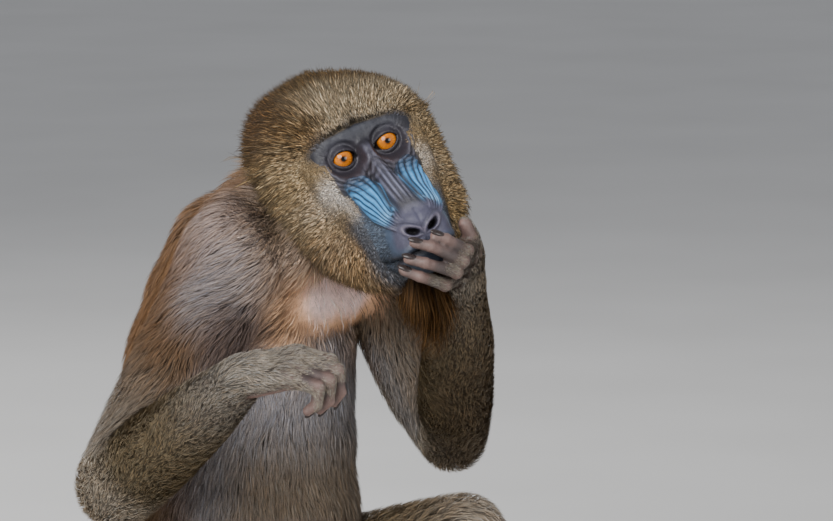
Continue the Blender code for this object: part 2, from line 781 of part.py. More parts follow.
# The left hand's finger joints, laid over the mouth, from forefinger to little finger
MOUTH_FINGERS = [
    [(-0.0315, -0.2664, 0.4035), (-0.0497, -0.2793, 0.4031),
     (-0.0702, -0.2762, 0.4133), (-0.0795, -0.2707, 0.4171)],
    [(-0.0331, -0.2678, 0.3957), (-0.0555, -0.2802, 0.3960),
     (-0.0824, -0.2721, 0.4088), (-0.0922, -0.2614, 0.4119)],
    [(-0.0347, -0.2644, 0.3881), (-0.0588, -0.2764, 0.3875),
     (-0.0865, -0.2699, 0.3970), (-0.0947, -0.2579, 0.4001)],
    [(-0.0363, -0.2581, 0.3795), (-0.0614, -0.2678, 0.3778),
     (-0.0853, -0.2642, 0.3863), (-0.0940, -0.2527, 0.3914)],
]
MOUTH_THUMB = [
    (-0.0159, -0.2521, 0.3815), (-0.0209, -0.2617, 0.3965),
    (-0.0301, -0.2667, 0.4100), (-0.0350, -0.2650, 0.4197),
]
MOUTH_NAILS = Vector((-0.461, -0.387, 0.799))
# How far each finger's three joints bend on the right hand, in degrees
FINGER_BEND = [(34, 56, 30), (38, 66, 34), (40, 72, 38), (40, 76, 42)]
FINGER_SIZE = [0.90, 1.0, 0.95, 0.80]
FINGER_ROOT = [0.0150, 0.0052, -0.0050, -0.0145]
THUMB_AIM = [(0.62, 0.34, 0.72), (0.86, 0.36, 0.36), (0.92, 0.38, 0.10)]


def hand_place(side, along, palm, thumb):
    """A point of the hand from its distances along, towards the palm side and towards the thumb."""
    return WRIST[side] + HAND_ALONG[side] * along + HAND_PALM[side] * palm + HAND_THUMB[side] * thumb


def finger_joints(side, finger):
    """The four joints of a finger and the way its nail faces."""
    if side == 1:
        joints = [Vector(place) for place in MOUTH_FINGERS[finger]]
        aim = (joints[3] - joints[2]).normalized()
        back = MOUTH_NAILS - aim * MOUTH_NAILS.dot(aim)
        return joints, back.normalized()
    size = FINGER_SIZE[finger]
    spread = FINGER_ROOT[finger]
    reach = 0.047 - 0.004 * abs(finger - 1)
    joint = hand_place(side, reach, 0.0015, spread)
    joints = [joint]
    bend = 0.0
    splay = Vector(HAND_THUMB[side]) * (spread * 3.2)
    for length, step in zip((0.027, 0.0185, 0.0135), FINGER_BEND[finger]):
        bend += math.radians(step)
        aim = HAND_ALONG[side] * math.cos(bend) + HAND_PALM[side] * math.sin(bend) + splay
        splay = splay * 0.4
        joint = joint + aim.normalized() * length * size
        joints.append(joint)
    back = HAND_ALONG[side] * math.sin(bend) - HAND_PALM[side] * math.cos(bend)
    return joints, back.normalized()


def thumb_joints(side):
    """The joints of one thumb and the way its nail faces."""
    if side == 1:
        joints = [Vector(place) for place in MOUTH_THUMB]
        aim = (joints[3] - joints[2]).normalized()
        away = Vector((0.940, 0.250, -0.150))
        back = away - aim * away.dot(aim)
        return joints, back.normalized()
    joint = hand_place(side, 0.012, 0.004, 0.0135)
    joints = [joint]
    for length, (along, palm, thumb) in zip((0.021, 0.0165, 0.013), THUMB_AIM):
        aim = HAND_ALONG[side] * along + HAND_PALM[side] * palm + HAND_THUMB[side] * thumb
        joint = joint + aim.normalized() * length
        joints.append(joint)
    aim = (joints[3] - joints[2]).normalized()
    away = HAND_ALONG[side] * 0.5 - HAND_PALM[side] * 0.85
    back = away - aim * away.dot(aim)
    return joints, back.normalized()


def nail(home, joints, back, width):
    """A long curved nail on the back of a fingertip."""
    aim = (joints[-1] - joints[-2]).normalized()
    across = aim.cross(back).normalized()
    turn = Matrix((across, aim, back)).transposed()
    middle = joints[-1] + aim * 0.0008 + back * width * 0.72
    return ball(home, middle, (width * 0.74, width * 1.35, width * 0.40), turn)


def hand(side, home, voxel, smoothing, triangles):
    """One hand with its palm, fingers and thumb as a single body."""
    along, palm_way = HAND_ALONG[side], HAND_PALM[side]
    pieces = [
        limb(home, [WRIST[side] - along * 0.012, WRIST[side], hand_place(side, 0.016, 0.001, 0)],
             [0.0195, 0.0185, 0.0165]),
        ball(home, hand_place(side, 0.020, 0.003, 0.009), (0.012, 0.012, 0.012)),
    ]
    for finger in range(4):
        joints, back = finger_joints(side, finger)
        base = hand_place(side, 0.010, 0.0, FINGER_ROOT[finger] * 0.62)
        pieces.append(limb(home, [base, joints[0]], [0.0088, 0.0066]))
        pieces.append(limb(home, [base + palm_way * 0.005, joints[0] + palm_way * 0.004], [0.0075, 0.0058]))
        pieces.append(ball(home, joints[0], (0.0062,) * 3))
        pieces.append(limb(home, joints[:2], [0.0056, 0.0048]))
        pieces.append(ball(home, joints[1], (0.0053,) * 3))
        pieces.append(limb(home, joints[1:3], [0.0048, 0.0044]))
        pieces.append(limb(home, joints[2:], [0.0045, 0.0040]))
        pieces.append(nail(home, joints, back, 0.0041))
    joints, back = thumb_joints(side)
    pieces.append(limb(home, joints[:2], [0.0100, 0.0066]))
    pieces.append(limb(home, joints[1:3], [0.0064, 0.0056]))
    pieces.append(limb(home, joints[2:], [0.0056, 0.0052]))
    pieces.append(nail(home, joints, back, 0.0045))
    return fused("hand", pieces, home, voxel, smoothing, triangles)


def toe_joints(side, toe):
    """Four joints of a toe, the great toe first, bent down to the ground."""
    ankle = ANKLE[side]
    if toe == 0:
        start = Vector((ankle.x - side * 0.013, ankle.y - 0.030, 0.0125))
        aims = [(-0.55, -0.83), (-0.48, -0.88), (-0.30, -0.95)]
        lengths = (0.024, 0.019, 0.014)
        heights = (0.0115, 0.0095, 0.0068)
    else:
        across = (0, -0.0145, -0.0050, 0.0050, 0.0145)[toe]
        start = Vector((ankle.x + side * across, ankle.y - 0.088 + abs(toe - 2.3) * 0.005, 0.0115))
        lean = (0, -0.12, -0.02, 0.06, 0.14)[toe]
        aims = [(lean, -1.0)] * 3
        size = (0, 0.95, 1.0, 0.97, 0.88)[toe]
        lengths = (0.021 * size, 0.016 * size, 0.012 * size)
        heights = (0.0150, 0.0105, 0.0062)
    joints = [start]
    for (across, ahead), length, height in zip(aims, lengths, heights):
        aim = Vector((side * across, ahead, 0)).normalized()
        joint = joints[-1] + aim * length
        joint.z = height
        joints.append(joint)
    aim = (joints[3] - joints[2]).normalized()
    back = Vector((0, 0, 1)) - aim * aim.z
    return joints, back.normalized()


def foot(side, home, voxel, smoothing, triangles):
    """One foot with its heel, sole and toes as a single body."""
    ankle = ANKLE[side]
    heel = Vector((ankle.x, ankle.y + 0.016, 0.0165))
    ball_of_foot = Vector((ankle.x, ankle.y - 0.072, 0.0120))
    pieces = [
        limb(home, [ankle + Vector((0, 0.004, 0.014)), ankle, ankle + Vector((0, -0.006, -0.014))],
             [0.0215, 0.0215, 0.0195]),
        ball(home, heel, (0.0185, 0.0215, 0.0178)),
        limb(home, [heel, heel.lerp(ball_of_foot, 0.5), ball_of_foot], [0.0170, 0.0160, 0.0128]),
        ball(home, ball_of_foot, (0.0235, 0.0240, 0.0130)),
        limb(home, [ankle + Vector((0, -0.012, -0.006)), ankle + Vector((0, -0.050, -0.019))],
             [0.0185, 0.0125]),
    ]
    for toe in range(5):
        joints, back = toe_joints(side, toe)
        thick = 0.0072 if toe == 0 else 0.0062
        pieces.append(limb(home, joints[:2], [thick * 1.25, thick]))
        pieces.append(limb(home, joints[1:3], [thick, thick * 0.93]))
        pieces.append(limb(home, joints[2:], [thick * 0.95, thick * 0.85]))
        pieces.append(nail(home, joints, back, thick * 0.82))
    middle = Vector((ankle.x - side * 0.006, ankle.y - 0.022, 0.0145))
    pieces.append(limb(home, [middle, toe_joints(side, 0)[0][0]], [0.0140, 0.0108]))
    return fused("foot", pieces, home, voxel, smoothing, triangles)


def ear(side, home):
    """A rounded cup that opens outwards and forwards."""
    turn = head_turn().to_3x3() @ Matrix.Rotation(math.radians(-28 * side), 3, "Z")
    middle = in_head(side * 0.0590, 0.056, 0.008)
    outwards = turn @ Vector((side, 0, 0))
    cup = ball(home, middle, (0.0090, 0.0120, 0.0140), turn)
    hollow = ball(home, middle + outwards * 0.0076, (0.0095, 0.0086, 0.0104), turn)
    combine(cup, hollow, "DIFFERENCE")
    drop(hollow)
    return thinned(cup, 220, home, "ear")


def cut_clear(obj, others, home):
    """Cuts the object back from the others, a small gap away from each."""
    for other in others:
        cutter = grown(other, GAP, home)
        combine(obj, cutter, "DIFFERENCE")
        drop(cutter)
        combine(obj, other, "DIFFERENCE")
    obj.data = mended(largest_only(obj.data))
    return obj


def finish(obj, name, material_name, home):
    """Moves the object to the parts' collection under its name, all triangles and one material."""
    obj.name = name
    obj.data.name = name
    for found in list(obj.users_collection):
        found.objects.unlink(obj)
    home.objects.link(obj)
    obj.data.materials.clear()
    obj.data.materials.append(material(material_name))
    return obj


def build():
    """Make every node, trimmed to its neighbours, on its own material."""
    clear_scene()
    parts = collection("mandrill")
    shop = collection("workshop")

    palms = {}
    for side, word in SIDES.items():
        paw = hand(side, shop, 0.0015, 2, 900)
        wrist_cut = WRIST[side] - HAND_ALONG[side] * 0.004
        way = (WRIST[side] - ELBOW[side]).normalized()
        palms[side] = trimmed(paw, wrist_cut + way * GAP / 2, -way, shop, "palm")
        drop(paw)
    arms = {side: arm(side, shop) for side in SIDES}
    skull = head(shop, 0.5, 3300)
    chest = trunk(shop)
    neck_line = [Vector((0.004, -0.074, 0.402)), Vector((0.012, -0.098, 0.426)), Vector((0.020, -0.118, 0.448))]
    neck = fused("neck", [limb(shop, neck_line, [0.048, 0.047, 0.046])], shop, 0.006, 4, 260)
    ears = {side: ear(side, shop) for side in SIDES}
    keep_off = away_from([
        (chest, 0.0, 0.05), (neck, 0.0, 0.04), (palms[1], 0.003, 0.008), (arms[1], -0.008, 0.03),
        (arms[-1], -0.010, 0.03), (ears[1], 0.0030, 0.004), (ears[-1], 0.0030, 0.004),
    ])
    skull = with_locks(skull, ruff_locks(shop, keep_off), 5800, shop)
    open_sockets(skull, shop)
    cut_clear(skull, [palms[1]], shop)
    cut_clear(neck, [skull], shop)
    body = cut_clear(chest, [skull, neck], shop)
    body = trimmed_to_ground(body, shop)
    brush = cut_clear(tail(shop), [body], shop)
    finish(brush, "tail", "coat", parts)

    for side, word in SIDES.items():
        both = cut_clear(arms[side], [body, neck, skull], shop)
        fold = (SHOULDER[side] - ELBOW[side]).normalized() - (WRIST[side] - ELBOW[side]).normalized()
        fore, upper = split(both, ELBOW[side], fold, ("fore", "upper"), shop)
        wrist_cut = WRIST[side] - HAND_ALONG[side] * 0.004
        way = (WRIST[side] - ELBOW[side]).normalized()
        fore_cut = trimmed(fore, wrist_cut - way * GAP / 2, way, shop, "fore_cut")
        drop(fore)
        finish(upper, "upper_arm_" + word, "coat", parts)
        finish(fore_cut, "forearm_" + word, "coat", parts)
        finish(palms[side], "hand_" + word, "hand_skin", parts)

        both = cut_clear(leg(side, shop), [body], shop)
        fold = (HIP[side] - KNEE[side]).normalized() - (ANKLE[side] - KNEE[side]).normalized()
        shin, thigh = split(both, KNEE[side], fold, ("shin", "thigh"), shop)
        ankle_cut = ANKLE[side] + Vector((0, 0, 0.006))
        shin_cut = trimmed(shin, ankle_cut + Vector((0, 0, GAP / 2)), (0, 0, -1), shop, "shin_cut")
        drop(shin)
        sole = foot(side, shop, 0.0017, 2, 700)
        sole_cut = trimmed(sole, ankle_cut - Vector((0, 0, GAP / 2)), (0, 0, 1), shop, "sole_cut")
        drop(sole)
        finish(thigh, "thigh_" + word, "coat", parts)
        finish(shin_cut, "shin_" + word, "coat", parts)
        finish(trimmed_to_ground(sole_cut, shop), "foot_" + word, "hand_skin", parts)

        lug = cut_clear(ears[side], [skull], shop)
        finish(lug, "ear_" + word, "skin", parts)
        finish(thinned(eye(side, shop), 200, shop, "ball"), "eye_" + word, "eye", parts)
    finish(body, "torso", "coat", parts)
    finish(neck, "neck", "coat", parts)
    finish(skull, "head", "coat", parts)


def trimmed_to_ground(obj, home):
    """The object with a small flat where it rests on the ground."""
    made = trimmed(obj, Vector((0, 0, GROUND)), (0, 0, -1), home, obj.name)
    drop(obj)
    return made


build()
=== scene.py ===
"""The sitting mandrill dressed for show: a skin, a coat of fine tufts, eyes and nails, over the frame."""

import json
import math

import bmesh
import bpy
import numpy as np
from mathutils import Matrix, Vector
from mathutils.bvhtree import BVHTree
from mathutils.kdtree import KDTree

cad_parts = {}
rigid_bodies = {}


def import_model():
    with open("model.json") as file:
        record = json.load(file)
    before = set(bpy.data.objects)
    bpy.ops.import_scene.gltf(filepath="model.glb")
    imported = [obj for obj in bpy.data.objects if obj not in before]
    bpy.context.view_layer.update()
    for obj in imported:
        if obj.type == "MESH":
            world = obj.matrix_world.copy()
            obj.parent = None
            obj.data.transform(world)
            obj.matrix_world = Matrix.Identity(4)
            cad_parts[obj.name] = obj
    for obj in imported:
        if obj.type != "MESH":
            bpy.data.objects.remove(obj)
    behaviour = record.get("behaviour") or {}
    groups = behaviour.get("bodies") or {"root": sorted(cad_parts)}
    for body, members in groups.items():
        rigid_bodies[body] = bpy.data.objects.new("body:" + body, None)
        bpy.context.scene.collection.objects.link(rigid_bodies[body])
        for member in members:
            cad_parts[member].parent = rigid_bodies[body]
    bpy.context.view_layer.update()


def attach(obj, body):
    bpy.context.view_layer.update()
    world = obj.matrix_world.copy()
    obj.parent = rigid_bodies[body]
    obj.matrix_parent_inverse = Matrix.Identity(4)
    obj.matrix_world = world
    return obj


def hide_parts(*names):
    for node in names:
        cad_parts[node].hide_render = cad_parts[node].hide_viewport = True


for item in list(bpy.data.objects):
    bpy.data.objects.remove(item)
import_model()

bl_info = {
    "name": "Sitting mandrill",
    "version": (1, 0, 0),
    "blender": (4, 5, 0),
    "location": "3D View > Sidebar > Mandrill",
    "description": "Skin, coat, eyes and nails of a life-size sitting mandrill",
    "category": "Object",
}

# Sizes and places shared with the solids, in metres
EYE_RADIUS = 0.0105
EYE_SPACING = 0.036
SIDES = {1: "left", -1: "right"}
HIP = {1: Vector((0.058, -0.012, 0.088)), -1: Vector((-0.058, -0.012, 0.088))}
KNEE = {1: Vector((0.079, -0.170, 0.159)), -1: Vector((-0.096, -0.172, 0.153))}
ANKLE = {1: Vector((0.098, -0.282, 0.040)), -1: Vector((-0.104, -0.278, 0.040))}
SHOULDER = {1: Vector((0.072, -0.080, 0.378)), -1: Vector((-0.074, -0.072, 0.378))}
ELBOW = {1: Vector((0.076, -0.162, 0.233)), -1: Vector((-0.141, -0.014, 0.210))}
WRIST = {1: Vector((-0.0102, -0.2408, 0.3639)), -1: Vector((-0.170, -0.165, 0.311))}
HEAD_AT = Vector((-0.0345, -0.1662, 0.4669))
HEAD_LEFT = Vector((0.7772, -0.5232, 0.3495))
HEAD_BACK = Vector((0.5871, 0.8028, -0.1039))
HEAD_UP = Vector((-0.2263, 0.2860, 0.9311))
HEAD_TURN = Matrix.Translation(HEAD_AT) @ Matrix((HEAD_LEFT, HEAD_BACK, HEAD_UP)).transposed().to_4x4()
# The camera's right, up and backward ways, and the point it looks at
CAMERA_RIGHT = Vector((0.6428, -0.7660, 0.0)).normalized()
CAMERA_BACK = Vector((-0.7586, -0.6365, 0.1392)).normalized()
CAMERA_UP = CAMERA_BACK.cross(CAMERA_RIGHT).normalized()
CAMERA_AIM = Vector((-0.041, -0.175, 0.468)) + CAMERA_RIGHT * 0.0374 - CAMERA_UP * 0.0818
# The head's grid, and the depth of the grooves beside the nose
HEAD_ROWS, HEAD_COLUMNS, GROOVE_DEPTH = 190, 240, 0.0010
# The least height of the skin and of the tufts over the floor, and how far a hand reaches from the wrist
SKIN_FLOOR, TUFT_FLOOR, HAND_REACH = 0.0003, 0.0004, 0.14
# The photograph's size of a pixel in millimetres, its width in thousands of pixels, and the camera's distance
PIXEL, PHOTO_WIDTH, CAMERA_FAR = 0.74, 0.833, 4.0
# The parts that a point of the skin can belong to
HEAD, BODY, HAND, FOOT, EAR = range(5)
FLESH = ["head", "neck", "torso", "tail"] + [
    part + "_" + side
    for side in ("left", "right")
    for part in ("ear", "upper_arm", "forearm", "hand", "thigh", "shin", "foot")
]

# The bare head's sections from the lips to the back of the skull, in metres in the head's own frame
# y, top, bottom, half width, height of the widest point, squareness
HEAD_SECTIONS = [
    (-0.0945, -0.062, -0.070, 0.0040, -0.066, 2.2),
    (-0.0930, -0.054, -0.080, 0.0140, -0.067, 2.4),
    (-0.0890, -0.049, -0.087, 0.0195, -0.067, 2.5),
    (-0.0800, -0.0445, -0.0935, 0.0230, -0.067, 2.6),
    (-0.0660, -0.037, -0.096, 0.0255, -0.064, 2.6),
    (-0.0500, -0.0275, -0.096, 0.0285, -0.060, 2.6),
    (-0.0350, -0.0175, -0.094, 0.0330, -0.052, 2.6),
    (-0.0220, -0.008, -0.092, 0.0380, -0.040, 2.8),
    (-0.0120, 0.006, -0.091, 0.0425, -0.025, 3.0),
    (-0.0040, 0.017, -0.090, 0.0445, -0.015, 3.1),
    (0.0100, 0.027, -0.088, 0.0465, -0.008, 3.0),
    (0.0300, 0.037, -0.084, 0.0485, -0.002, 2.6),
    (0.0550, 0.044, -0.077, 0.0495, 0.000, 2.3),
    (0.0800, 0.041, -0.065, 0.0470, 0.000, 2.2),
    (0.1000, 0.031, -0.048, 0.0390, -0.003, 2.1),
    (0.1150, 0.014, -0.026, 0.0260, -0.006, 2.0),
    (0.1200, 0.000, -0.010, 0.0060, -0.005, 2.0),
]


def smooth(value):
    """A soft step from 0 to 1."""
    value = np.clip(value, 0.0, 1.0)
    return value * value * (3.0 - 2.0 * value)


def bell(value, width):
    """A soft bump that is 1 at zero and fades over the width."""
    return np.exp(-((value / width) ** 2))


def section_at(place):
    """The head's section at a place counted in stations, by a smooth curve through them."""
    table = np.array(HEAD_SECTIONS)
    last = len(table) - 1
    place = np.clip(place, 0.0, last)
    low = np.clip(np.floor(place).astype(int), 0, last - 1)
    part = (place - low)[:, None]
    before = table[np.clip(low - 1, 0, last)]
    start = table[low]
    end = table[low + 1]
    after = table[np.clip(low + 2, 0, last)]
    leave = (end - before) / 2
    arrive = (after - start) / 2
    square = part * part
    cube = square * part
    curve = (2 * cube - 3 * square + 1) * start + (cube - 2 * square + part) * leave
    return curve + (3 * square - 2 * cube) * end + (cube - square) * arrive


def head_surface(rows, around):
    """Points of the bare head on a grid, with the distance from the top line along each section."""
    table = np.array(HEAD_SECTIONS)
    steps = np.hypot(np.diff(table[:, 0]), np.diff(table[:, 1]))
    # more rows over the face than over the back of the head
    steps = np.maximum(steps, 0.006) * np.where(table[1:, 0] > 0.02, 0.42, 1.0)
    run = np.concatenate([[0.0], np.cumsum(steps)])
    wanted = np.linspace(0.0, run[-1], rows)
    place = np.interp(wanted, run, np.arange(len(table)))
    shape = section_at(place)
    angle = np.linspace(-math.pi, math.pi, around, endpoint=False)
    # denser over the top of the face than under the jaw
    angle = angle - 0.48 * np.sin(angle)
    sine, cosine = np.sin(angle)[None, :], np.cos(angle)[None, :]
    power = 2.0 / shape[:, 5:6]
    x = shape[:, 3:4] * np.sign(sine) * np.abs(sine) ** power
    rise = np.where(cosine > 0, shape[:, 1:2] - shape[:, 4:5], shape[:, 4:5] - shape[:, 2:3])
    z = shape[:, 4:5] + rise * np.sign(cosine) * np.abs(cosine) ** power
    y = np.broadcast_to(shape[:, 0:1], x.shape).copy()
    return np.stack([x, y, z], axis=-1)


def grid_normals(points):
    """Outward normals of a grid that is closed around its second axis."""
    along = np.gradient(points, axis=0)
    across = (np.roll(points, -1, axis=1) - np.roll(points, 1, axis=1)) / 2
    normal = np.cross(across, along)
    normal[0] = (0, -1, 0)
    normal[-1] = (0, 1, 0)
    length = np.linalg.norm(normal, axis=-1, keepdims=True)
    return normal / np.maximum(length, 1e-9)


def coat_share(points):
    """How much of the coat's full depth a place on the head has, 0 on the face and 1 on crown and cheeks."""
    y, z = points[..., 1], points[..., 2]
    edge = np.interp(
        z,
        [-0.100, -0.095, -0.080, -0.060, -0.040, -0.020, 0.000, 0.012, 0.018, 0.022],
        [-0.066, -0.060, -0.046, -0.032, -0.020, -0.007, 0.003, 0.002, -0.010, -0.016],
    )
    return smooth((y - edge) / 0.020)


def hair_share(points, width=0.016):
    """Where the head is hairy: the short hair starts farther forward than the coat's depth does."""
    x, y, z = points[..., 0], points[..., 1], points[..., 2]
    side = np.abs(x)
    edge = np.interp(
        z,
        [-0.100, -0.095, -0.080, -0.060, -0.045, -0.027, -0.011, 0.000, 0.010, 0.018, 0.022],
        [-0.066, -0.062, -0.056, -0.058, -0.053, -0.037, -0.026, -0.014, -0.006, -0.012, -0.016],
    )
    # the middle of the face, with the eyes, is bare up to the brow
    middle = smooth((0.0325 - side) / 0.0035) * smooth((0.0215 - 0.16 * side - z) / 0.004)
    middle = middle * smooth((z + 0.026) / 0.008)
    return smooth((y - edge - 0.040 * middle) / width)


def full_coat(points):
    """The full depth of the coat over places on the head, more on her right, where it is brushed up."""
    x, z = points[..., 0], points[..., 2]
    depth = np.interp(z, [-0.09, -0.05, 0.0, 0.02, 0.04], [0.018, 0.024, 0.0245, 0.0220, 0.0200])
    depth = depth - (0.0045 * smooth((z + 0.06) / 0.05) + 0.0040 * smooth(z / 0.03)) * np.tanh(x / 0.022)
    return depth * (1 - 0.40 * smooth((z - 0.032) / 0.020) * smooth(-x / 0.030))


def face_fields(points):
    """Where the face's parts lie on the head: the nose ridge, the furrows beside it and the ridged flanks."""
    x, y, z = points[..., 0], points[..., 1], points[..., 2]
    side = np.abs(x)
    half = np.interp(
        y, [-0.094, -0.088, -0.070, -0.045, -0.020, -0.010], [0.013, 0.0125, 0.0085, 0.0070, 0.005, 0.004])
    on_top = smooth((z + 0.066) / 0.012) * smooth((0.010 - z) / 0.008) * smooth((0.004 - y) / 0.008)
    ridge = on_top * np.exp(-((side / half) ** 4))
    furrow = on_top * bell(side - half - 0.0030, 0.0022) * smooth((y + 0.084) / 0.010)
    # the flanks' ridges run up from the nostril beside the nose and bend outwards below the eye
    table = np.array(HEAD_SECTIONS)
    crest = np.interp(y, table[:, 0], table[:, 1])
    spread = side + 0.8 * np.clip(crest - z, 0, 0.05)
    stations = [-0.092, -0.075, -0.058, -0.046, -0.040, -0.035, -0.031, -0.026, -0.022]
    inner = np.interp(y, stations, [0.0120, 0.0112, 0.0100, 0.0096, 0.0104, 0.0124, 0.0160, 0.0260, 0.0400])
    outer = np.interp(y, stations, [0.0222, 0.0292, 0.0345, 0.0395, 0.0440, 0.0500, 0.0560, 0.0700, 0.0860])
    share = (spread - inner) / (outer - inner)
    share = share + 0.018 * np.sin(y * 210.0 + share * 5.0)
    ends = smooth((y + 0.091) / 0.008) * smooth((0.0385 - spread) / 0.008) * smooth((-0.021 - y) / 0.007)
    flank = ends * smooth((share + 0.10) / 0.12) * smooth((1.10 - share) / 0.16)
    return {"side": side, "ridge": ridge, "furrow": furrow, "flank": flank, "run": share * 6.0}


def face_relief(points, ridges):
    """The face's bones and folds, pushed out along the surface; ridges is the grooves' depth in metres."""
    x, y, z = points[..., 0], points[..., 1], points[..., 2]
    found = face_fields(points)
    side = found["side"]
    push = 0.0042 * found["ridge"] - 0.0024 * found["furrow"] + 0.0044 * found["flank"]
    away = np.abs(found["run"] % 1.0 - 0.5) * 2.0
    push += ridges * found["flank"] * (0.55 - 1.1 * away ** 3)
    # long soft creases down the nose
    lines = bell(side, 0.0009) + bell(side - 0.0042, 0.0009)
    push -= 0.0006 * found["ridge"] * lines * smooth((y + 0.082) / 0.012)
    # brow bar, with upright creases above the nose
    bar = np.exp(-((side / 0.040) ** 6))
    push += 0.0046 * bar * bell(z - 0.0165 - 0.10 * (0.02 - side), 0.0062) * smooth((0.012 - y) / 0.010)
    push -= 0.0007 * bell(side - 0.0035, 0.0010) * bell(z - 0.014, 0.007) * smooth((0.010 - y) / 0.008)
    # sockets, with fine folds that circle below the eyes
    ring = eye_ring(side, z)
    front = smooth((0.008 - y) / 0.008)
    push -= 0.0026 * front * np.exp(-((ring / 0.0160) ** 3))
    # a heavy fold over each eye, lower towards its outer corner
    across = side - EYE_SPACING / 2
    fold = z - 0.0112 + 0.16 * across + 18.0 * across ** 2
    over_eye = front * bell(across - 0.001, 0.0130)
    push += over_eye * (0.0014 * bell(fold, 0.0014) - 0.0009 * bell(fold + 0.0021, 0.0007))
    below = smooth((-z + 0.003) / 0.006)
    for high, crest, spread, deep, trough, narrow in [
        (0.0008, 0.0150, 0.0012, 0.0009, 0.0169, 0.0007),
        (0.0005, 0.0185, 0.0009, 0.0006, 0.0201, 0.0006),
        (0.0004, 0.0218, 0.0009, 0.0004, 0.0232, 0.0006),
    ]:
        push += front * below * (high * bell(ring - crest, spread) - deep * bell(ring - trough, narrow))
    # crow's feet at the outer corner and fine folds on the lids
    turn = np.arctan2(z + 0.002, side - EYE_SPACING / 2)
    corner = front * smooth((side - EYE_SPACING / 2 - 0.008) / 0.004) * bell(ring - 0.0155, 0.0040)
    push -= 0.0005 * corner * np.cos(turn * 19.0) ** 2
    push -= 0.0003 * front * bell(ring - 0.0128, 0.0004) + 0.0003 * front * bell(ring - 0.0139, 0.0004)
    # mouth line with the lips' edges
    level = mouth_level(side)
    reach = smooth((-0.046 - y) / 0.006)
    push -= 0.0030 * reach * bell(z - level, 0.0013)
    push += 0.0012 * reach * (bell(z - level - 0.0042, 0.0026) + bell(z - level + 0.0045, 0.0026))
    # groove under the nose
    push -= 0.0008 * bell(x, 0.0013) * smooth((-0.086 - y) / 0.003) * smooth((z + 0.074) / 0.004)
    # nostrils: a soft rim and a pit
    over, hole = nostril(side, z)
    at_tip = smooth((-0.080 - y) / 0.004)
    push += 0.0013 * at_tip * bell(hole - 1.42, 0.42)
    push -= 0.0075 * at_tip * smooth((1.12 - hole) / 0.55)
    wing = bell(hole - 2.35, 0.28) * smooth(over / 0.002)
    push -= 0.0008 * at_tip * wing
    return push


def mouth_level(side):
    """The height of the line between the lips, lower towards the corners."""
    return np.interp(side, [0.0, 0.012, 0.020, 0.027], [-0.0745, -0.0755, -0.0775, -0.0790])


def nostril(side, z):
    """How far above a nostril's middle a place lies, and its distance from it in sizes of the pit."""
    along = (side - 0.0080) * 0.88 + (z + 0.0600) * 0.47
    over = -(side - 0.0080) * 0.47 + (z + 0.0600) * 0.88 - 12.0 * np.clip(along, -0.01, 0.01) ** 2
    return over, np.hypot(along / 0.0052, over / 0.0025)


def eye_ring(side, z):
    """Distance from the eye's middle, made uneven so that the folds round it aren't true rings."""
    across = side - EYE_SPACING / 2
    turn = np.arctan2(z, across)
    ring = np.hypot(across, z + 0.0005)
    uneven = 0.0007 * np.sin(3 * turn + 1.1) + 0.0005 * np.sin(7 * turn + 0.4) + 0.0003 * np.sin(17 * turn)
    return ring + uneven * smooth((ring - 0.0105) / 0.003)


def eye_opening(across, level):
    """Distance inside the opening between the lids, negative outside; across runs away from the nose."""
    length = np.where(across + 0.0008 > 0, 0.0092, 0.0106)
    span = np.clip(across + 0.0008, -0.0106, 0.0092)
    upper = 0.0057 * np.maximum(1 - (np.abs(span) / length) ** 2.1, 0) ** 0.8
    lower = 0.0058 * np.maximum(1 - (np.abs(span) / length) ** 1.9, 0) ** 0.8
    upper = np.where(span < 0, upper * (1 - 0.25 * (span / 0.0106) ** 2), upper)
    lift = level - 0.06 * across
    inside = np.where(lift > 0, upper - lift, lower + lift)
    return np.where(np.abs(across + 0.0008) > length, -0.001, inside)


def lids(points):
    """Draws the surface round each eye onto a ball, with an opening between two lids."""
    x, y, z = points[..., 0], points[..., 1], points[..., 2]
    for side in (1, -1):
        across = (x - side * EYE_SPACING / 2) * side
        near = np.hypot(across, z - 0.0003)
        front = (y < 0.004)
        outer = 0.0119
        depth = np.sqrt(np.maximum(outer ** 2 - np.minimum(near, outer * 0.94) ** 2, 0.0))
        blend = smooth((0.0150 - near) / 0.0060) * front
        inside = eye_opening(across, z)
        open_share = smooth((inside + 0.0003) / 0.0011)
        rim = bell(inside + 0.0012, 0.0010)
        fold = bell(inside + 0.0040, 0.0008) * (z > 0) + 0.7 * bell(inside + 0.0038, 0.0008) * (z < 0)
        target = -depth - 0.0006 * rim + 0.0008 * fold
        y = np.where(front, y * (1 - blend) + target * blend, y)
        y = y + front * open_share * blend * 0.0042
    points = points.copy()
    points[..., 1] = y
    return points


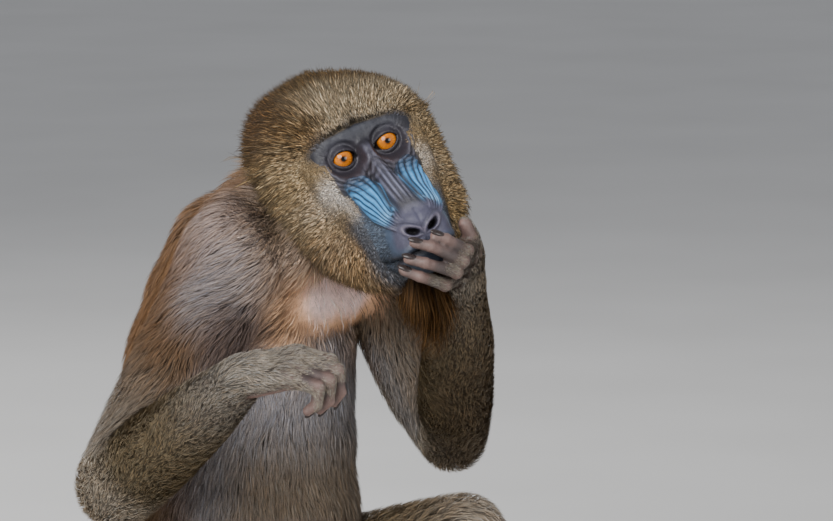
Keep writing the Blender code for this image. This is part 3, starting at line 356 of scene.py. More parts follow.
def lid_rim(side):
    """The rolled edge of both lids round the eye's opening, a closed tube."""
    curve = bpy.data.curves.new("lid", "CURVE")
    curve.dimensions = "3D"
    curve.bevel_depth = 1.0
    curve.bevel_resolution = 2
    spline = curve.splines.new("POLY")
    spline.points.add(63)
    spline.use_cyclic_u = True
    far = EYE_RADIUS + 0.0008
    for number, point in enumerate(spline.points):
        turn = 2 * math.pi * number / 64
        sine, cosine = math.sin(turn), math.cos(turn)
        upper = sine > 0
        across = cosine * (0.0098 if cosine > 0 else 0.0112) - 0.0004
        level = sine * abs(sine) ** 0.36 * (0.0061 if upper else 0.0066) + 0.07 * across
        level -= 0.0010 * max(0.0, -cosine) ** 3
        out = min(math.hypot(across, level) / far, 0.84)
        place = Vector((side * (EYE_SPACING / 2 + across), -far * math.sqrt(1 - out * out), level))
        point.co = (*(HEAD_TURN @ place), 1.0)
        point.radius = 0.0006 + (0.0004 if upper else 0.0001) * abs(sine)
    made = bpy.data.objects.new("lid", curve)
    bpy.context.scene.collection.objects.link(made)
    rim = new_object("lid", evaluated_copy(made))
    drop(made)
    bpy.data.curves.remove(curve)
    return rim


def grid_mesh(name, points):
    """A closed mesh over a grid, its first and last rows drawn together into one point each."""
    rows, around = points.shape[:2]
    work = bmesh.new()
    bmesh.ops.create_grid(work, x_segments=rows - 1, y_segments=around, size=1.0)
    work.verts.ensure_lookup_table()
    found = {}
    for vert in work.verts:
        row = int(round((vert.co.x + 1) / 2 * (rows - 1)))
        column = int(round((vert.co.y + 1) / 2 * around)) % around
        found[vert] = (row, column)
    ends = {0: points[0].mean(axis=0), rows - 1: points[-1].mean(axis=0)}
    for vert, (row, column) in found.items():
        vert.co = Vector(ends[row]) if row in ends else Vector(points[row, column])
    bmesh.ops.remove_doubles(work, verts=work.verts, dist=0.0000001)
    bmesh.ops.recalc_face_normals(work, faces=work.faces)
    return finished_mesh(name, work)


# The hands' own frames: along the palm to the fingers, the way the palm faces, and towards the thumb
HAND_ALONG = {1: Vector((-0.546, -0.539, 0.641)), -1: Vector((0.463, -0.834, 0.300))}
HAND_PALM = {1: Vector((-0.397, 0.841, 0.369)), -1: Vector((0.492, -0.040, -0.870))}
HAND_THUMB = {1: Vector((0.738, 0.052, 0.674)), -1: Vector((0.738, 0.550, 0.392))}
# The left hand's finger joints, laid over the mouth, from forefinger to little finger
MOUTH_FINGERS = [
    [
        (-0.0315, -0.2664, 0.4035), (-0.0497, -0.2793, 0.4031),
        (-0.0702, -0.2762, 0.4133), (-0.0795, -0.2707, 0.4171),
    ],
    [
        (-0.0331, -0.2678, 0.3957), (-0.0555, -0.2802, 0.3960),
        (-0.0824, -0.2721, 0.4088), (-0.0922, -0.2614, 0.4119),
    ],
    [
        (-0.0347, -0.2644, 0.3881), (-0.0588, -0.2764, 0.3875),
        (-0.0865, -0.2699, 0.3970), (-0.0947, -0.2579, 0.4001),
    ],
    [
        (-0.0363, -0.2581, 0.3795), (-0.0614, -0.2678, 0.3778),
        (-0.0853, -0.2642, 0.3863), (-0.0940, -0.2527, 0.3914),
    ],
]
MOUTH_THUMB = [
    (-0.0159, -0.2521, 0.3815), (-0.0209, -0.2617, 0.3965),
    (-0.0301, -0.2667, 0.4100), (-0.0350, -0.2650, 0.4197),
]
MOUTH_NAILS = Vector((-0.461, -0.387, 0.799))
# How far each finger's three joints bend on the right hand, in degrees
FINGER_BEND = [(34, 56, 30), (38, 66, 34), (40, 72, 38), (40, 76, 42)]
FINGER_SIZE = [0.90, 1.0, 0.95, 0.80]
FINGER_ROOT = [0.0150, 0.0052, -0.0050, -0.0145]
THUMB_AIM = [(0.62, 0.34, 0.72), (0.86, 0.36, 0.36), (0.92, 0.38, 0.10)]


def hand_place(side, along, palm, thumb):
    """A point of the hand from its distances along, towards the palm side and towards the thumb."""
    return WRIST[side] + HAND_ALONG[side] * along + HAND_PALM[side] * palm + HAND_THUMB[side] * thumb


def finger_joints(side, finger):
    """The four joints of a finger and the way its nail faces."""
    if side == 1:
        joints = [Vector(place) for place in MOUTH_FINGERS[finger]]
        aim = (joints[3] - joints[2]).normalized()
        back = MOUTH_NAILS - aim * MOUTH_NAILS.dot(aim)
        return joints, back.normalized()
    size = FINGER_SIZE[finger]
    spread = FINGER_ROOT[finger]
    reach = 0.047 - 0.004 * abs(finger - 1)
    joint = hand_place(side, reach, 0.0015, spread)
    joints = [joint]
    bend = 0.0
    splay = Vector(HAND_THUMB[side]) * (spread * 3.2)
    for length, step in zip((0.027, 0.0185, 0.0135), FINGER_BEND[finger]):
        bend += math.radians(step)
        aim = HAND_ALONG[side] * math.cos(bend) + HAND_PALM[side] * math.sin(bend) + splay
        splay = splay * 0.4
        joint = joint + aim.normalized() * length * size
        joints.append(joint)
    back = HAND_ALONG[side] * math.sin(bend) - HAND_PALM[side] * math.cos(bend)
    return joints, back.normalized()


def thumb_joints(side):
    """The four joints of a thumb and the way its nail faces."""
    if side == 1:
        joints = [Vector(place) for place in MOUTH_THUMB]
        aim = (joints[3] - joints[2]).normalized()
        away = Vector((0.940, 0.250, -0.150))
        back = away - aim * away.dot(aim)
        return joints, back.normalized()
    joint = hand_place(side, 0.012, 0.004, 0.0135)
    joints = [joint]
    for length, (along, palm, thumb) in zip((0.021, 0.0165, 0.013), THUMB_AIM):
        aim = HAND_ALONG[side] * along + HAND_PALM[side] * palm + HAND_THUMB[side] * thumb
        joint = joint + aim.normalized() * length
        joints.append(joint)
    aim = (joints[3] - joints[2]).normalized()
    away = HAND_ALONG[side] * 0.5 - HAND_PALM[side] * 0.85
    back = away - aim * away.dot(aim)
    return joints, back.normalized()


def toe_width(toe):
    """Half the thickness of a toe, the great toe first."""
    return 0.0070 if toe == 0 else 0.0060


def toe_joints(side, toe):
    """Four joints of a toe, the great toe first, bent down to the ground."""
    ankle = ANKLE[side]
    if toe == 0:
        start = Vector((ankle.x - side * 0.013, ankle.y - 0.030, 0.0125))
        aims = [(-0.55, -0.83), (-0.48, -0.88), (-0.30, -0.95)]
        lengths = (0.024, 0.019, 0.014)
        heights = (0.0115, 0.0095, 0.0068)
    else:
        across = (0, -0.0145, -0.0050, 0.0050, 0.0145)[toe]
        start = Vector((ankle.x + side * across, ankle.y - 0.088 + abs(toe - 2.3) * 0.005, 0.0115))
        lean = (0, -0.12, -0.02, 0.06, 0.14)[toe]
        aims = [(lean, -1.0)] * 3
        size = (0, 0.95, 1.0, 0.97, 0.88)[toe]
        lengths = (0.021 * size, 0.016 * size, 0.012 * size)
        heights = (0.0150, 0.0105, 0.0062)
    joints = [start]
    for (across, ahead), length, height in zip(aims, lengths, heights):
        aim = Vector((side * across, ahead, 0)).normalized()
        joint = joints[-1] + aim * length
        joint.z = height
        joints.append(joint)
    aim = (joints[3] - joints[2]).normalized()
    back = Vector((0, 0, 1)) - aim * aim.z
    return joints, back.normalized()



# Shop work: the shapes that the skin is melted from


def new_object(name, mesh):
    """An object in the scene with that mesh or curve."""
    made = bpy.data.objects.new(name, mesh)
    bpy.context.scene.collection.objects.link(made)
    return made


def drop(obj):
    """Takes an object out of the file."""
    bpy.data.objects.remove(obj)


def finished_mesh(name, work):
    """A new mesh from a bmesh, which is then freed."""
    mesh = bpy.data.meshes.new(name)
    work.to_mesh(mesh)
    work.free()
    return mesh


def read(items, key, each, kind):
    """One property of all the items, with that many numbers to a row."""
    values = np.empty(len(items) * each, kind)
    items.foreach_get(key, values)
    return values.reshape(-1, each)


def evaluated_copy(obj):
    """A new mesh of the object as its modifiers leave it."""
    bpy.context.view_layer.update()
    graph = bpy.context.evaluated_depsgraph_get()
    return bpy.data.meshes.new_from_object(obj.evaluated_get(graph))


def ball(centre, radii, turn=None):
    """An ellipsoid with its three half widths, turned by an optional rotation matrix."""
    work = bmesh.new()
    bmesh.ops.create_uvsphere(work, u_segments=28, v_segments=16, radius=1.0)
    mesh = finished_mesh("ball", work)
    mesh.transform(Matrix.Diagonal(Vector(radii).to_4d()))
    if turn is not None:
        mesh.transform(turn.to_4x4())
    mesh.transform(Matrix.Translation(centre))
    return new_object("ball", mesh)


def limb(points, radii):
    """A round tapering tube through the points, with a ball at each end."""
    curve = bpy.data.curves.new("limb", "CURVE")
    curve.dimensions = "3D"
    curve.bevel_depth = 1.0
    curve.bevel_resolution = 4
    curve.resolution_u = 8
    curve.use_fill_caps = True
    spline = curve.splines.new("BEZIER")
    spline.bezier_points.add(len(points) - 1)
    for point, place, radius in zip(spline.bezier_points, points, radii):
        point.co = place
        point.radius = radius
        point.handle_left_type = point.handle_right_type = "AUTO"
    tube = new_object("limb", curve)
    made = new_object("limb_mesh", evaluated_copy(tube))
    drop(tube)
    ends = [ball(Vector(points[0]), (radii[0],) * 3), ball(Vector(points[-1]), (radii[-1],) * 3)]
    return joined("limb", [made] + ends)


def joined(name, pieces):
    """One object that holds all the pieces' meshes, which are then removed."""
    work = bmesh.new()
    for piece in pieces:
        work.from_mesh(piece.data)
    for piece in pieces:
        drop(piece)
    bmesh.ops.remove_doubles(work, verts=work.verts, dist=0.00002)
    bmesh.ops.recalc_face_normals(work, faces=work.faces)
    return new_object(name, finished_mesh(name, work))


def melted(name, pieces, voxel, smoothing):
    """The pieces melted into one closed skin."""
    lump = joined(name, pieces)
    melt = lump.modifiers.new("melt", "REMESH")
    melt.mode = "VOXEL"
    melt.voxel_size = voxel
    relax = lump.modifiers.new("relax", "SMOOTH")
    relax.factor = 0.5
    relax.iterations = smoothing
    made = new_object(name, evaluated_copy(lump))
    drop(lump)
    return made


def united(base, others):
    """The base and the others as one closed surface."""
    rest = bpy.data.collections.new("rest")
    bpy.context.scene.collection.children.link(rest)
    for item in others:
        bpy.context.scene.collection.objects.unlink(item)
        rest.objects.link(item)
    step = base.modifiers.new("union", "BOOLEAN")
    step.operation = "UNION"
    step.solver = "MANIFOLD"
    step.operand_type = "COLLECTION"
    step.collection = rest
    made = new_object(base.name, evaluated_copy(base))
    for item in [base] + list(others):
        drop(item)
    bpy.data.collections.remove(rest)
    return made


def bare_head(rows, around, ridges):
    """The head without its coat, on a grid in the head's own frame."""
    base = head_surface(rows, around)
    normal = grid_normals(base)
    share = coat_share(base)
    shaped = base + normal * (face_relief(base, ridges) * (1 - share))[..., None]
    return lids(shaped)


def bare_body():
    """Trunk, arms, legs and tail: the solids' own balls and tubes, thinner by the coat's depth."""
    lean = Matrix.Rotation(math.radians(20), 3, "X")
    slope = Matrix.Rotation(math.radians(12), 3, "X")
    coat = 0.012
    pieces = []
    for centre, radii, turn in [
        ((0, 0.006, 0.080), (0.086, 0.082, 0.084), None),
        ((0, -0.004, 0.120), (0.089, 0.090, 0.095), slope),
        ((0, -0.014, 0.170), (0.089, 0.096, 0.100), slope),
        ((0, -0.010, 0.222), (0.083, 0.098, 0.105), lean),
        ((0, -0.010, 0.272), (0.079, 0.100, 0.104), lean),
        ((0, -0.024, 0.318), (0.080, 0.092, 0.088), lean),
        ((0, -0.040, 0.352), (0.080, 0.086, 0.070), lean),
        ((0, -0.022, 0.372), (0.066, 0.064, 0.050), lean),
        ((-0.004, -0.048, 0.402), (0.051, 0.050, 0.044), None),
        ((-0.010, -0.096, 0.376), (0.040, 0.034, 0.037), None),
    ]:
        pieces.append(ball(Vector(centre), [radius - coat for radius in radii], turn))
    # the slopes from the neck to the shoulders, the breast and its nearly bare swellings
    for side in SIDES:
        for across, back, height, radii in [
            (0.048, -0.062, 0.392, (0.030, 0.036, 0.030)),
            (0.044, -0.080, 0.356, (0.031, 0.025, 0.036)),
            (0.036, -0.083, 0.395, (0.031, 0.031, 0.029)),
            (0.043, -0.097, 0.386, (0.025, 0.025, 0.028)),
            (0.024, -0.084, 0.346, (0.030, 0.029, 0.032)),
        ]:
            pieces.append(ball(Vector((side * across, back, height)), radii))
    neck = [Vector((0.0, -0.050, 0.365)), Vector((0.008, -0.092, 0.418)), Vector((0.010, -0.112, 0.440))]
    pieces.append(limb(neck, [0.052, 0.046, 0.036]))
    for side in SIDES:
        shoulder, elbow, wrist = SHOULDER[side], ELBOW[side], WRIST[side]
        inner = Vector((side * 0.046, shoulder.y + 0.008, shoulder.z + 0.004))
        bend, swell = (0.0195, 0.0240) if side == 1 else (0.0265, 0.0270)
        upper = [shoulder, shoulder.lerp(elbow, 0.35), shoulder.lerp(elbow, 0.72), elbow]
        lower = [elbow, elbow.lerp(wrist, 0.30), elbow.lerp(wrist, 0.68), wrist]
        hip, knee, ankle = HIP[side], KNEE[side], ANKLE[side]
        thigh = [hip, hip.lerp(knee, 0.38), hip.lerp(knee, 0.74), knee]
        shin = [knee, knee.lerp(ankle, 0.30) + Vector((0, 0.006, 0)), knee.lerp(ankle, 0.70), ankle]
        pieces += [
            ball(shoulder, (0.0325, 0.0370, 0.0380)),
            limb([inner, shoulder], [0.032, 0.033]),
            limb(upper, [0.0325, 0.0310, 0.0290, bend]),
            limb(lower, [bend, swell, 0.0235, 0.0170]),
            limb([wrist, wrist + HAND_ALONG[side] * 0.014], [0.0165, 0.0150]),
            limb(thigh, [0.045, 0.041, 0.035, 0.028]),
            limb(shin, [0.027, 0.028, 0.022, 0.0185]),
            # the bare pad that she sits on
            ball(Vector((side * 0.030, 0.030, 0.0125)), (0.026, 0.022, 0.012)),
        ]
    stump = [(0, 0.045, 0.105), (0, 0.088, 0.128), (0, 0.112, 0.165), (0, 0.112, 0.190)]
    stump = [Vector(place) for place in stump]
    pieces.append(limb(stump, [0.013, 0.011, 0.009, 0.004]))
    return melted("body", pieces, 0.0054, 8)


def nail_shape(joints, back, width):
    """A long curved nail on the back of a fingertip."""
    aim = (joints[-1] - joints[-2]).normalized()
    across = aim.cross(back).normalized()
    turn = Matrix((across, aim, back)).transposed()
    middle = joints[-1] - aim * 0.0030 + back * width * 0.74
    return ball(middle, (width * 0.68, width * 1.50, width * 0.42), turn)


def bare_hand(side):
    """Palm, four fingers and thumb, with knuckles and finger pads."""
    wrist, along, palm_way = WRIST[side], HAND_ALONG[side], HAND_PALM[side]
    pieces = [
        limb([wrist - along * 0.003, wrist, hand_place(side, 0.016, 0.001, 0)], [0.0150, 0.0158, 0.0155]),
        ball(hand_place(side, 0.020, 0.003, 0.009), (0.012, 0.012, 0.012)),
    ]
    for finger in range(4):
        joints = finger_joints(side, finger)[0]
        base = hand_place(side, 0.010, 0.0, FINGER_ROOT[finger] * 0.62)
        aim = (joints[3] - joints[2]).normalized()
        pieces += [
            limb([base, joints[0]], [0.0088, 0.0066]),
            limb([base + palm_way * 0.005, joints[0] + palm_way * 0.004], [0.0075, 0.0058]),
            ball(joints[0], (0.0062,) * 3),
            limb(joints[:2], [0.0055, 0.0047]),
            ball(joints[1], (0.0053,) * 3),
            limb(joints[1:3], [0.0047, 0.0042]),
            ball(joints[2], (0.0047,) * 3),
            limb([joints[2], joints[3] - aim * 0.0025], [0.0043, 0.0040]),
        ]
    joints = thumb_joints(side)[0]
    pieces.append(limb(joints[:2], [0.0100, 0.0066]))
    pieces.append(limb(joints[1:3], [0.0064, 0.0056]))
    pieces.append(limb(joints[2:], [0.0056, 0.0052]))
    return melted("hand", pieces, 0.0016, 2)


def bare_foot(side):
    """Heel, sole and five toes, the great toe set apart."""
    ankle = ANKLE[side]
    heel = Vector((ankle.x, ankle.y + 0.016, 0.0165))
    front = Vector((ankle.x, ankle.y - 0.072, 0.0122))
    pieces = [
        limb([ankle + Vector((0, 0.004, 0.014)), ankle, ankle + Vector((0, -0.006, -0.014))],
             [0.0185, 0.0190, 0.0180]),
        ball(heel, (0.0175, 0.0205, 0.0165)),
        limb([heel, heel.lerp(front, 0.5), front], [0.0162, 0.0152, 0.0120]),
        ball(front, (0.0228, 0.0232, 0.0122)),
        limb([ankle + Vector((0, -0.012, -0.006)), ankle + Vector((0, -0.050, -0.019))], [0.0175, 0.0118]),
    ]
    for toe in range(5):
        joints = toe_joints(side, toe)[0]
        thick = toe_width(toe)
        pieces.append(limb(joints[:2], [thick * 1.25, thick]))
        pieces.append(limb(joints[1:3], [thick, thick * 0.93]))
        pieces.append(limb(joints[2:], [thick * 0.95, thick * 0.85]))
    middle = Vector((ankle.x - side * 0.006, ankle.y - 0.022, 0.0145))
    pieces.append(limb([middle, toe_joints(side, 0)[0][0]], [0.0138, 0.0106]))
    return melted("foot", pieces, 0.0025, 2)


def bare_ear(side):
    """A rounded cup that opens outwards and forwards."""
    turn = HEAD_TURN.to_3x3() @ Matrix.Rotation(math.radians(-28 * side), 3, "Z")
    middle = HEAD_TURN @ Vector((side * 0.0560, 0.056, 0.007))
    outwards = turn @ Vector((side, 0, 0))
    cup = ball(middle, (0.0105, 0.0118, 0.0136), turn)
    hollow = ball(middle + outwards * 0.0080, (0.0098, 0.0086, 0.0104), turn)
    step = cup.modifiers.new("hollow", "BOOLEAN")
    step.operation = "DIFFERENCE"
    step.solver = "MANIFOLD"
    step.object = hollow
    made = new_object("ear", evaluated_copy(cup))
    drop(cup)
    drop(hollow)
    return made


def whole_skin():
    """The bare animal as one closed mesh, and for each of its points the part that it belongs to."""
    skull = grid_mesh("skull", bare_head(HEAD_ROWS, HEAD_COLUMNS, GROOVE_DEPTH))
    skull.transform(HEAD_TURN)
    parts = [(new_object("skull", skull), HEAD), (bare_body(), BODY)]
    for side in SIDES:
        parts.append((lid_rim(side), HEAD))
        parts.append((bare_hand(side), HAND))
        parts.append((bare_foot(side), FOOT))
        parts.append((bare_ear(side), EAR))
    count = sum(len(obj.data.vertices) for obj, _ in parts)
    tree = KDTree(count)
    owner = np.zeros(count, np.int32)
    number = 0
    for obj, part in parts:
        for vert in obj.data.vertices:
            tree.insert(vert.co, number)
            owner[number] = part
            number += 1
    tree.balance()
    whole = united(parts[0][0], [obj for obj, _ in parts[1:]])
    mesh = whole.data
    drop(whole)
    work = bmesh.new()
    work.from_mesh(mesh)
    bmesh.ops.triangulate(work, faces=work.faces)
    bmesh.ops.remove_doubles(work, verts=work.verts, dist=0.000005)
    work.to_mesh(mesh)
    work.free()
    belongs = np.array([owner[tree.find(vert.co)[1]] for vert in mesh.vertices])
    return mesh, belongs


# The coat: where the hair grows, which way it lies, how long it is and its colours

# Lines through the bare body: name, start, end, and the radius at each
BODY_LINES = [
    ("trunk", Vector((0, 0.002, 0.060)), Vector((0, -0.026, 0.365)), 0.076, 0.066),
    ("neck", Vector((0, -0.050, 0.372)), Vector((0.010, -0.112, 0.440)), 0.050, 0.036),
    ("tail", Vector((0, 0.070, 0.112)), Vector((0, 0.112, 0.190)), 0.012, 0.005),
]
for _side, _word in SIDES.items():
    BODY_LINES += [
        ("upper_arm_" + _word, SHOULDER[_side], ELBOW[_side], 0.037, 0.026),
        ("forearm_" + _word, ELBOW[_side], WRIST[_side], 0.027, 0.017),
        ("thigh_" + _word, HIP[_side], KNEE[_side], 0.046, 0.028),
        ("shin_" + _word, KNEE[_side], ANKLE[_side], 0.028, 0.018),
    ]
LINE_NUMBER = {line[0]: number for number, line in enumerate(BODY_LINES)}
# Coat depth and hair length at the start and end of each line, in metres
COAT_SIZES = {
    "trunk": (0.0120, 0.0125, 0.026, 0.028),
    "neck": (0.0130, 0.0150, 0.028, 0.030),
    "tail": (0.0065, 0.0085, 0.020, 0.026),
    "upper_arm": (0.0100, 0.0085, 0.024, 0.019),
    "forearm": (0.0080, 0.0030, 0.017, 0.010),
    "thigh": (0.0100, 0.0080, 0.024, 0.018),
    "shin": (0.0075, 0.0030, 0.016, 0.010),
}


def array(vector):
    """A vector or colour as an array."""
    return np.array(vector, float)


def to_head(points):
    """World places in the head's own frame."""
    return (points - array(HEAD_AT)) @ np.stack([array(HEAD_LEFT), array(HEAD_BACK), array(HEAD_UP)], axis=1)


def from_head(ways):
    """Ways in the head's own frame as ways in the world."""
    return ways @ np.stack([array(HEAD_LEFT), array(HEAD_BACK), array(HEAD_UP)])


def normalised(ways):
    """The ways, each made one unit long."""
    return ways / np.maximum(np.linalg.norm(ways, axis=-1, keepdims=True), 1e-12)


def nearest_line(points):
    """For each place the line of the body that it lies nearest to, and how far along it."""
    best = np.full(len(points), 1e9)
    line = np.zeros(len(points), np.int32)
    share = np.zeros(len(points))
    for number, (_, start, end, thick, thin) in enumerate(BODY_LINES):
        run = array(end - start)
        along = np.clip((points - array(start)) @ run / (run @ run), 0, 1)
        gap = np.linalg.norm(points - array(start) - along[:, None] * run, axis=1)
        gap = gap - (thick + (thin - thick) * along)
        closer = gap < best
        best[closer] = gap[closer]
        line[closer] = number
        share[closer] = along[closer]
    return line, share


def softened(values, edges, rounds, keep=None):
    """Values averaged with those of the neighbouring points, again and again."""
    values = values.astype(float)
    wide = values.ndim > 1
    first, second = edges[:, 0], edges[:, 1]
    count = np.bincount(first, minlength=len(values)) + np.bincount(second, minlength=len(values))
    count = np.maximum(count, 1)

    def around(column):
        """The sum of each point's neighbours' values."""
        return (np.bincount(first, column[second], len(values))
                + np.bincount(second, column[first], len(values)))

    for _ in range(rounds):
        if wide:
            total = np.stack([around(column) for column in values.T], axis=1)
            fresh = 0.5 * values + 0.5 * total / count[:, None]
        else:
            fresh = 0.5 * values + 0.5 * around(values) / count
        values = fresh if keep is None else np.where(keep[:, None] if wide else keep, values, fresh)
    return values


def ripple(points, size, seed):
    """A smooth random swell between about -1 and 1 with waves of about that size."""
    random = np.random.default_rng(seed)
    total = np.zeros(len(points))
    for _ in range(7):
        way = normalised(random.normal(size=3)) * (2 * math.pi / size) * random.uniform(0.6, 1.5)
        total += np.sin(points @ way + random.uniform(0, 6.28))
    return total / 2.6


def hand_bones(side):
    """The hand's bones out to the fingertips: start, end, distance from the wrist, way of the back."""
    away = array(-HAND_PALM[side])
    found = []
    chains = [finger_joints(side, finger) for finger in range(4)] + [thumb_joints(side)]
    for joints, back in chains:
        places = [array(WRIST[side])] + [array(joint) for joint in joints]
        far = 0.0
        for step, (start, end) in enumerate(zip(places[:-1], places[1:])):
            found.append((start, end, far, away if step == 0 else array(back)))
            far += np.linalg.norm(end - start)
    return found


def hand_run(points, side):
    """For places on a hand: distance from the wrist, nearness to knuckle and to the gap between two fingers,
    where shade is painted, ways of bone, back.
    """
    best = np.full(len(points), 1e9)
    run = np.zeros(len(points))
    knuckle = np.zeros(len(points))
    way = np.zeros((len(points), 3))
    back = np.zeros((len(points), 3))
    fingers = np.full((5, len(points)), 1.0)
    finger = -1
    for start, end, far, facing in hand_bones(side):
        bone = end - start
        share = np.clip((points - start) @ bone / (bone @ bone), 0, 1)
        gap = np.linalg.norm(points - start - share[:, None] * bone, axis=1)
        closer = gap < best
        best[closer] = gap[closer]
        run[closer] = (far + share * np.linalg.norm(bone))[closer]
        way[closer] = bone / np.linalg.norm(bone)
        back[closer] = facing
        if far > 0:
            fingers[finger] = np.minimum(fingers[finger], gap)
            for joint in (start, end):
                knuckle = np.maximum(knuckle, bell(np.linalg.norm(points - joint, axis=1) - 0.004, 0.0042))
        else:
            finger += 1
    fingers = np.sort(fingers, axis=0)
    finger_gap_shade = bell(fingers[1] - fingers[0], 0.0016) * smooth((0.011 - fingers[1]) / 0.004)
    return run, knuckle, finger_gap_shade, way, back


def coat_fields(points, normals, belongs, edges):
    """For every point of the skin: the coat's depth, the hair's length and lie, and its line and share."""
    count = len(points)
    depth = np.zeros(count)
    length = np.zeros(count)
    lie = np.zeros((count, 3))
    line, share = nearest_line(points)
    body = belongs == BODY
    for number, (name, start, end, _, _) in enumerate(BODY_LINES):
        kind = name.replace("_left", "").replace("_right", "")
        here = body & (line == number)
        low, high, near, far = COAT_SIZES[kind]
        depth[here] = low + (high - low) * share[here]
        length[here] = near + (far - near) * share[here]
        way = array(end - start)
        way = way / np.linalg.norm(way)
        if kind == "trunk":
            out = points[here] - array(start)
            lie[here] = np.stack([out[:, 0] * 2.2, 0.10 + out[:, 1] * 1.2, np.full(here.sum(), -1.0)], axis=1)
        elif kind == "neck":
            lie[here] = -way * 0.8 + array((0, 0, -0.5))
        elif kind == "upper_arm":
            outwards = array((1.0 if name.endswith("left") else -1.0, 0.6, 0.0))
            lie[here] = way + np.maximum(1 - share[here] / 0.40, 0.0)[:, None] * outwards
        else:
            lie[here] = way
    head = belongs == HEAD
    place = to_head(points)
    x, y, z = place[:, 0], place[:, 1], place[:, 2]
    full = full_coat(place)
    grown = hair_share(place)
    raised = coat_share(place)
    depth[head] = (full * raised + 0.0026 * grown * (1 - raised))[head]
    longest = np.interp(z, [-0.09, -0.04, 0.01, 0.03], [0.044, 0.040, 0.034, 0.030])
    longest = longest * (0.26 + 0.74 * raised)
    length[head] = (grown * longest + 0.003 * smooth(grown * 5))[head]
    flow = np.stack([x * 9.0, np.full(count, 1.0), (z + 0.015) * 7.0 - 0.30], axis=1)
    flow[:, 2] -= 0.80 * smooth((-0.038 - z) / 0.036)
    lie[head] = from_head(flow)[head]
    run = np.zeros(count)
    knuckle = np.zeros(count)
    finger_gap_shade = np.zeros(count)
    for side in SIDES:
        hand = (belongs == HAND) & (np.linalg.norm(points - array(WRIST[side]), axis=1) < HAND_REACH)
        run[hand], knuckle[hand], finger_gap_shade[hand], way, facing = hand_run(points[hand], side)
        back = smooth((np.sum(normals[hand] * facing, axis=1) + 0.50) / 0.60)
        depth[hand] = back * np.interp(run[hand], [0.0, 0.03, 0.06, 0.085], [0.0038, 0.0024, 0.0010, 0.0003])
        length[hand] = back * np.interp(
            run[hand], [0.0, 0.03, 0.052, 0.075, 0.088], [0.013, 0.011, 0.0075, 0.0055, 0.0])
        lie[hand] = way
        foot = (belongs == FOOT) & (np.sign(points[:, 0]) == side)
        ahead = ANKLE[side].y - points[:, 1]
        top = smooth((normals[:, 2] + 0.25) / 0.5) * smooth((0.082 - ahead) / 0.025)
        top = top * smooth((points[:, 2] - 0.008) / 0.012)
        depth[foot] = (0.0030 * smooth((0.075 - ahead) / 0.060) * top + 0.0004 * top)[foot]
        length[foot] = (0.0105 * top * smooth((0.100 - ahead) / 0.085))[foot]
        lie[foot] = array((0, -0.85, -0.5))
    ear = belongs == EAR
    depth[ear] = 0.0020
    length[ear] = 0.005
    lie[ear] = array(HEAD_BACK + HEAD_UP * 0.4)
    # the sitting pads are bare
    seat = body & (points[:, 2] < 0.020) & (points[:, 1] > -0.01) & (np.abs(points[:, 0]) < 0.062)
    bare = softened(seat.astype(float), edges, 3)
    fixed = head & (grown > 0.02)
    # the chest is thinly haired
    chest = body * patch(points, (-0.015, -0.112, 0.350), 0.036, True)
    near = belongs != HEAD
    depth = softened(depth * (1 - 0.75 * chest), edges, 10, keep=~near) * (1 - bare)
    length = softened(length * (1 - 0.60 * chest), edges, 10, keep=~near) * (1 - bare)
    bare = np.maximum(bare, 0.965 * smooth(1.5 * chest))
    lie = softened(normalised(lie), edges, 30, keep=fixed & (y > 0.0))
    lie = lie + 0.16 * np.stack([ripple(points, 0.05, seed) for seed in (5, 6, 7)], axis=1)
    lie = normalised(lie - normals * np.sum(lie * normals, axis=1, keepdims=True))
    return {
        "depth": depth, "length": length, "lie": lie, "line": line, "share": share, "place": place,
        "knuckle": knuckle, "finger_gap_shade": finger_gap_shade, "bare": bare, "chest": chest,
    }


def patch(points, centre, radius, mirrored=False):
    """How near each place is to a patch's middle, from 0 to 1."""
    centre = array(centre)
    gap = np.linalg.norm(points - centre, axis=1)
    if mirrored:
        gap = np.minimum(gap, np.linalg.norm(points - centre * array((-1, 1, 1)), axis=1))
    return bell(gap, radius)


def layered(colours, *layers):
    """The colours with others laid over them in turn, each by its own share."""
    for colour, share in layers:
        colours = colours * (1 - share[:, None]) + array(colour) * share[:, None]
    return colours


def tiled(colour, count):
    """One colour, that many times over."""
    return np.tile(array(colour), (count, 1))


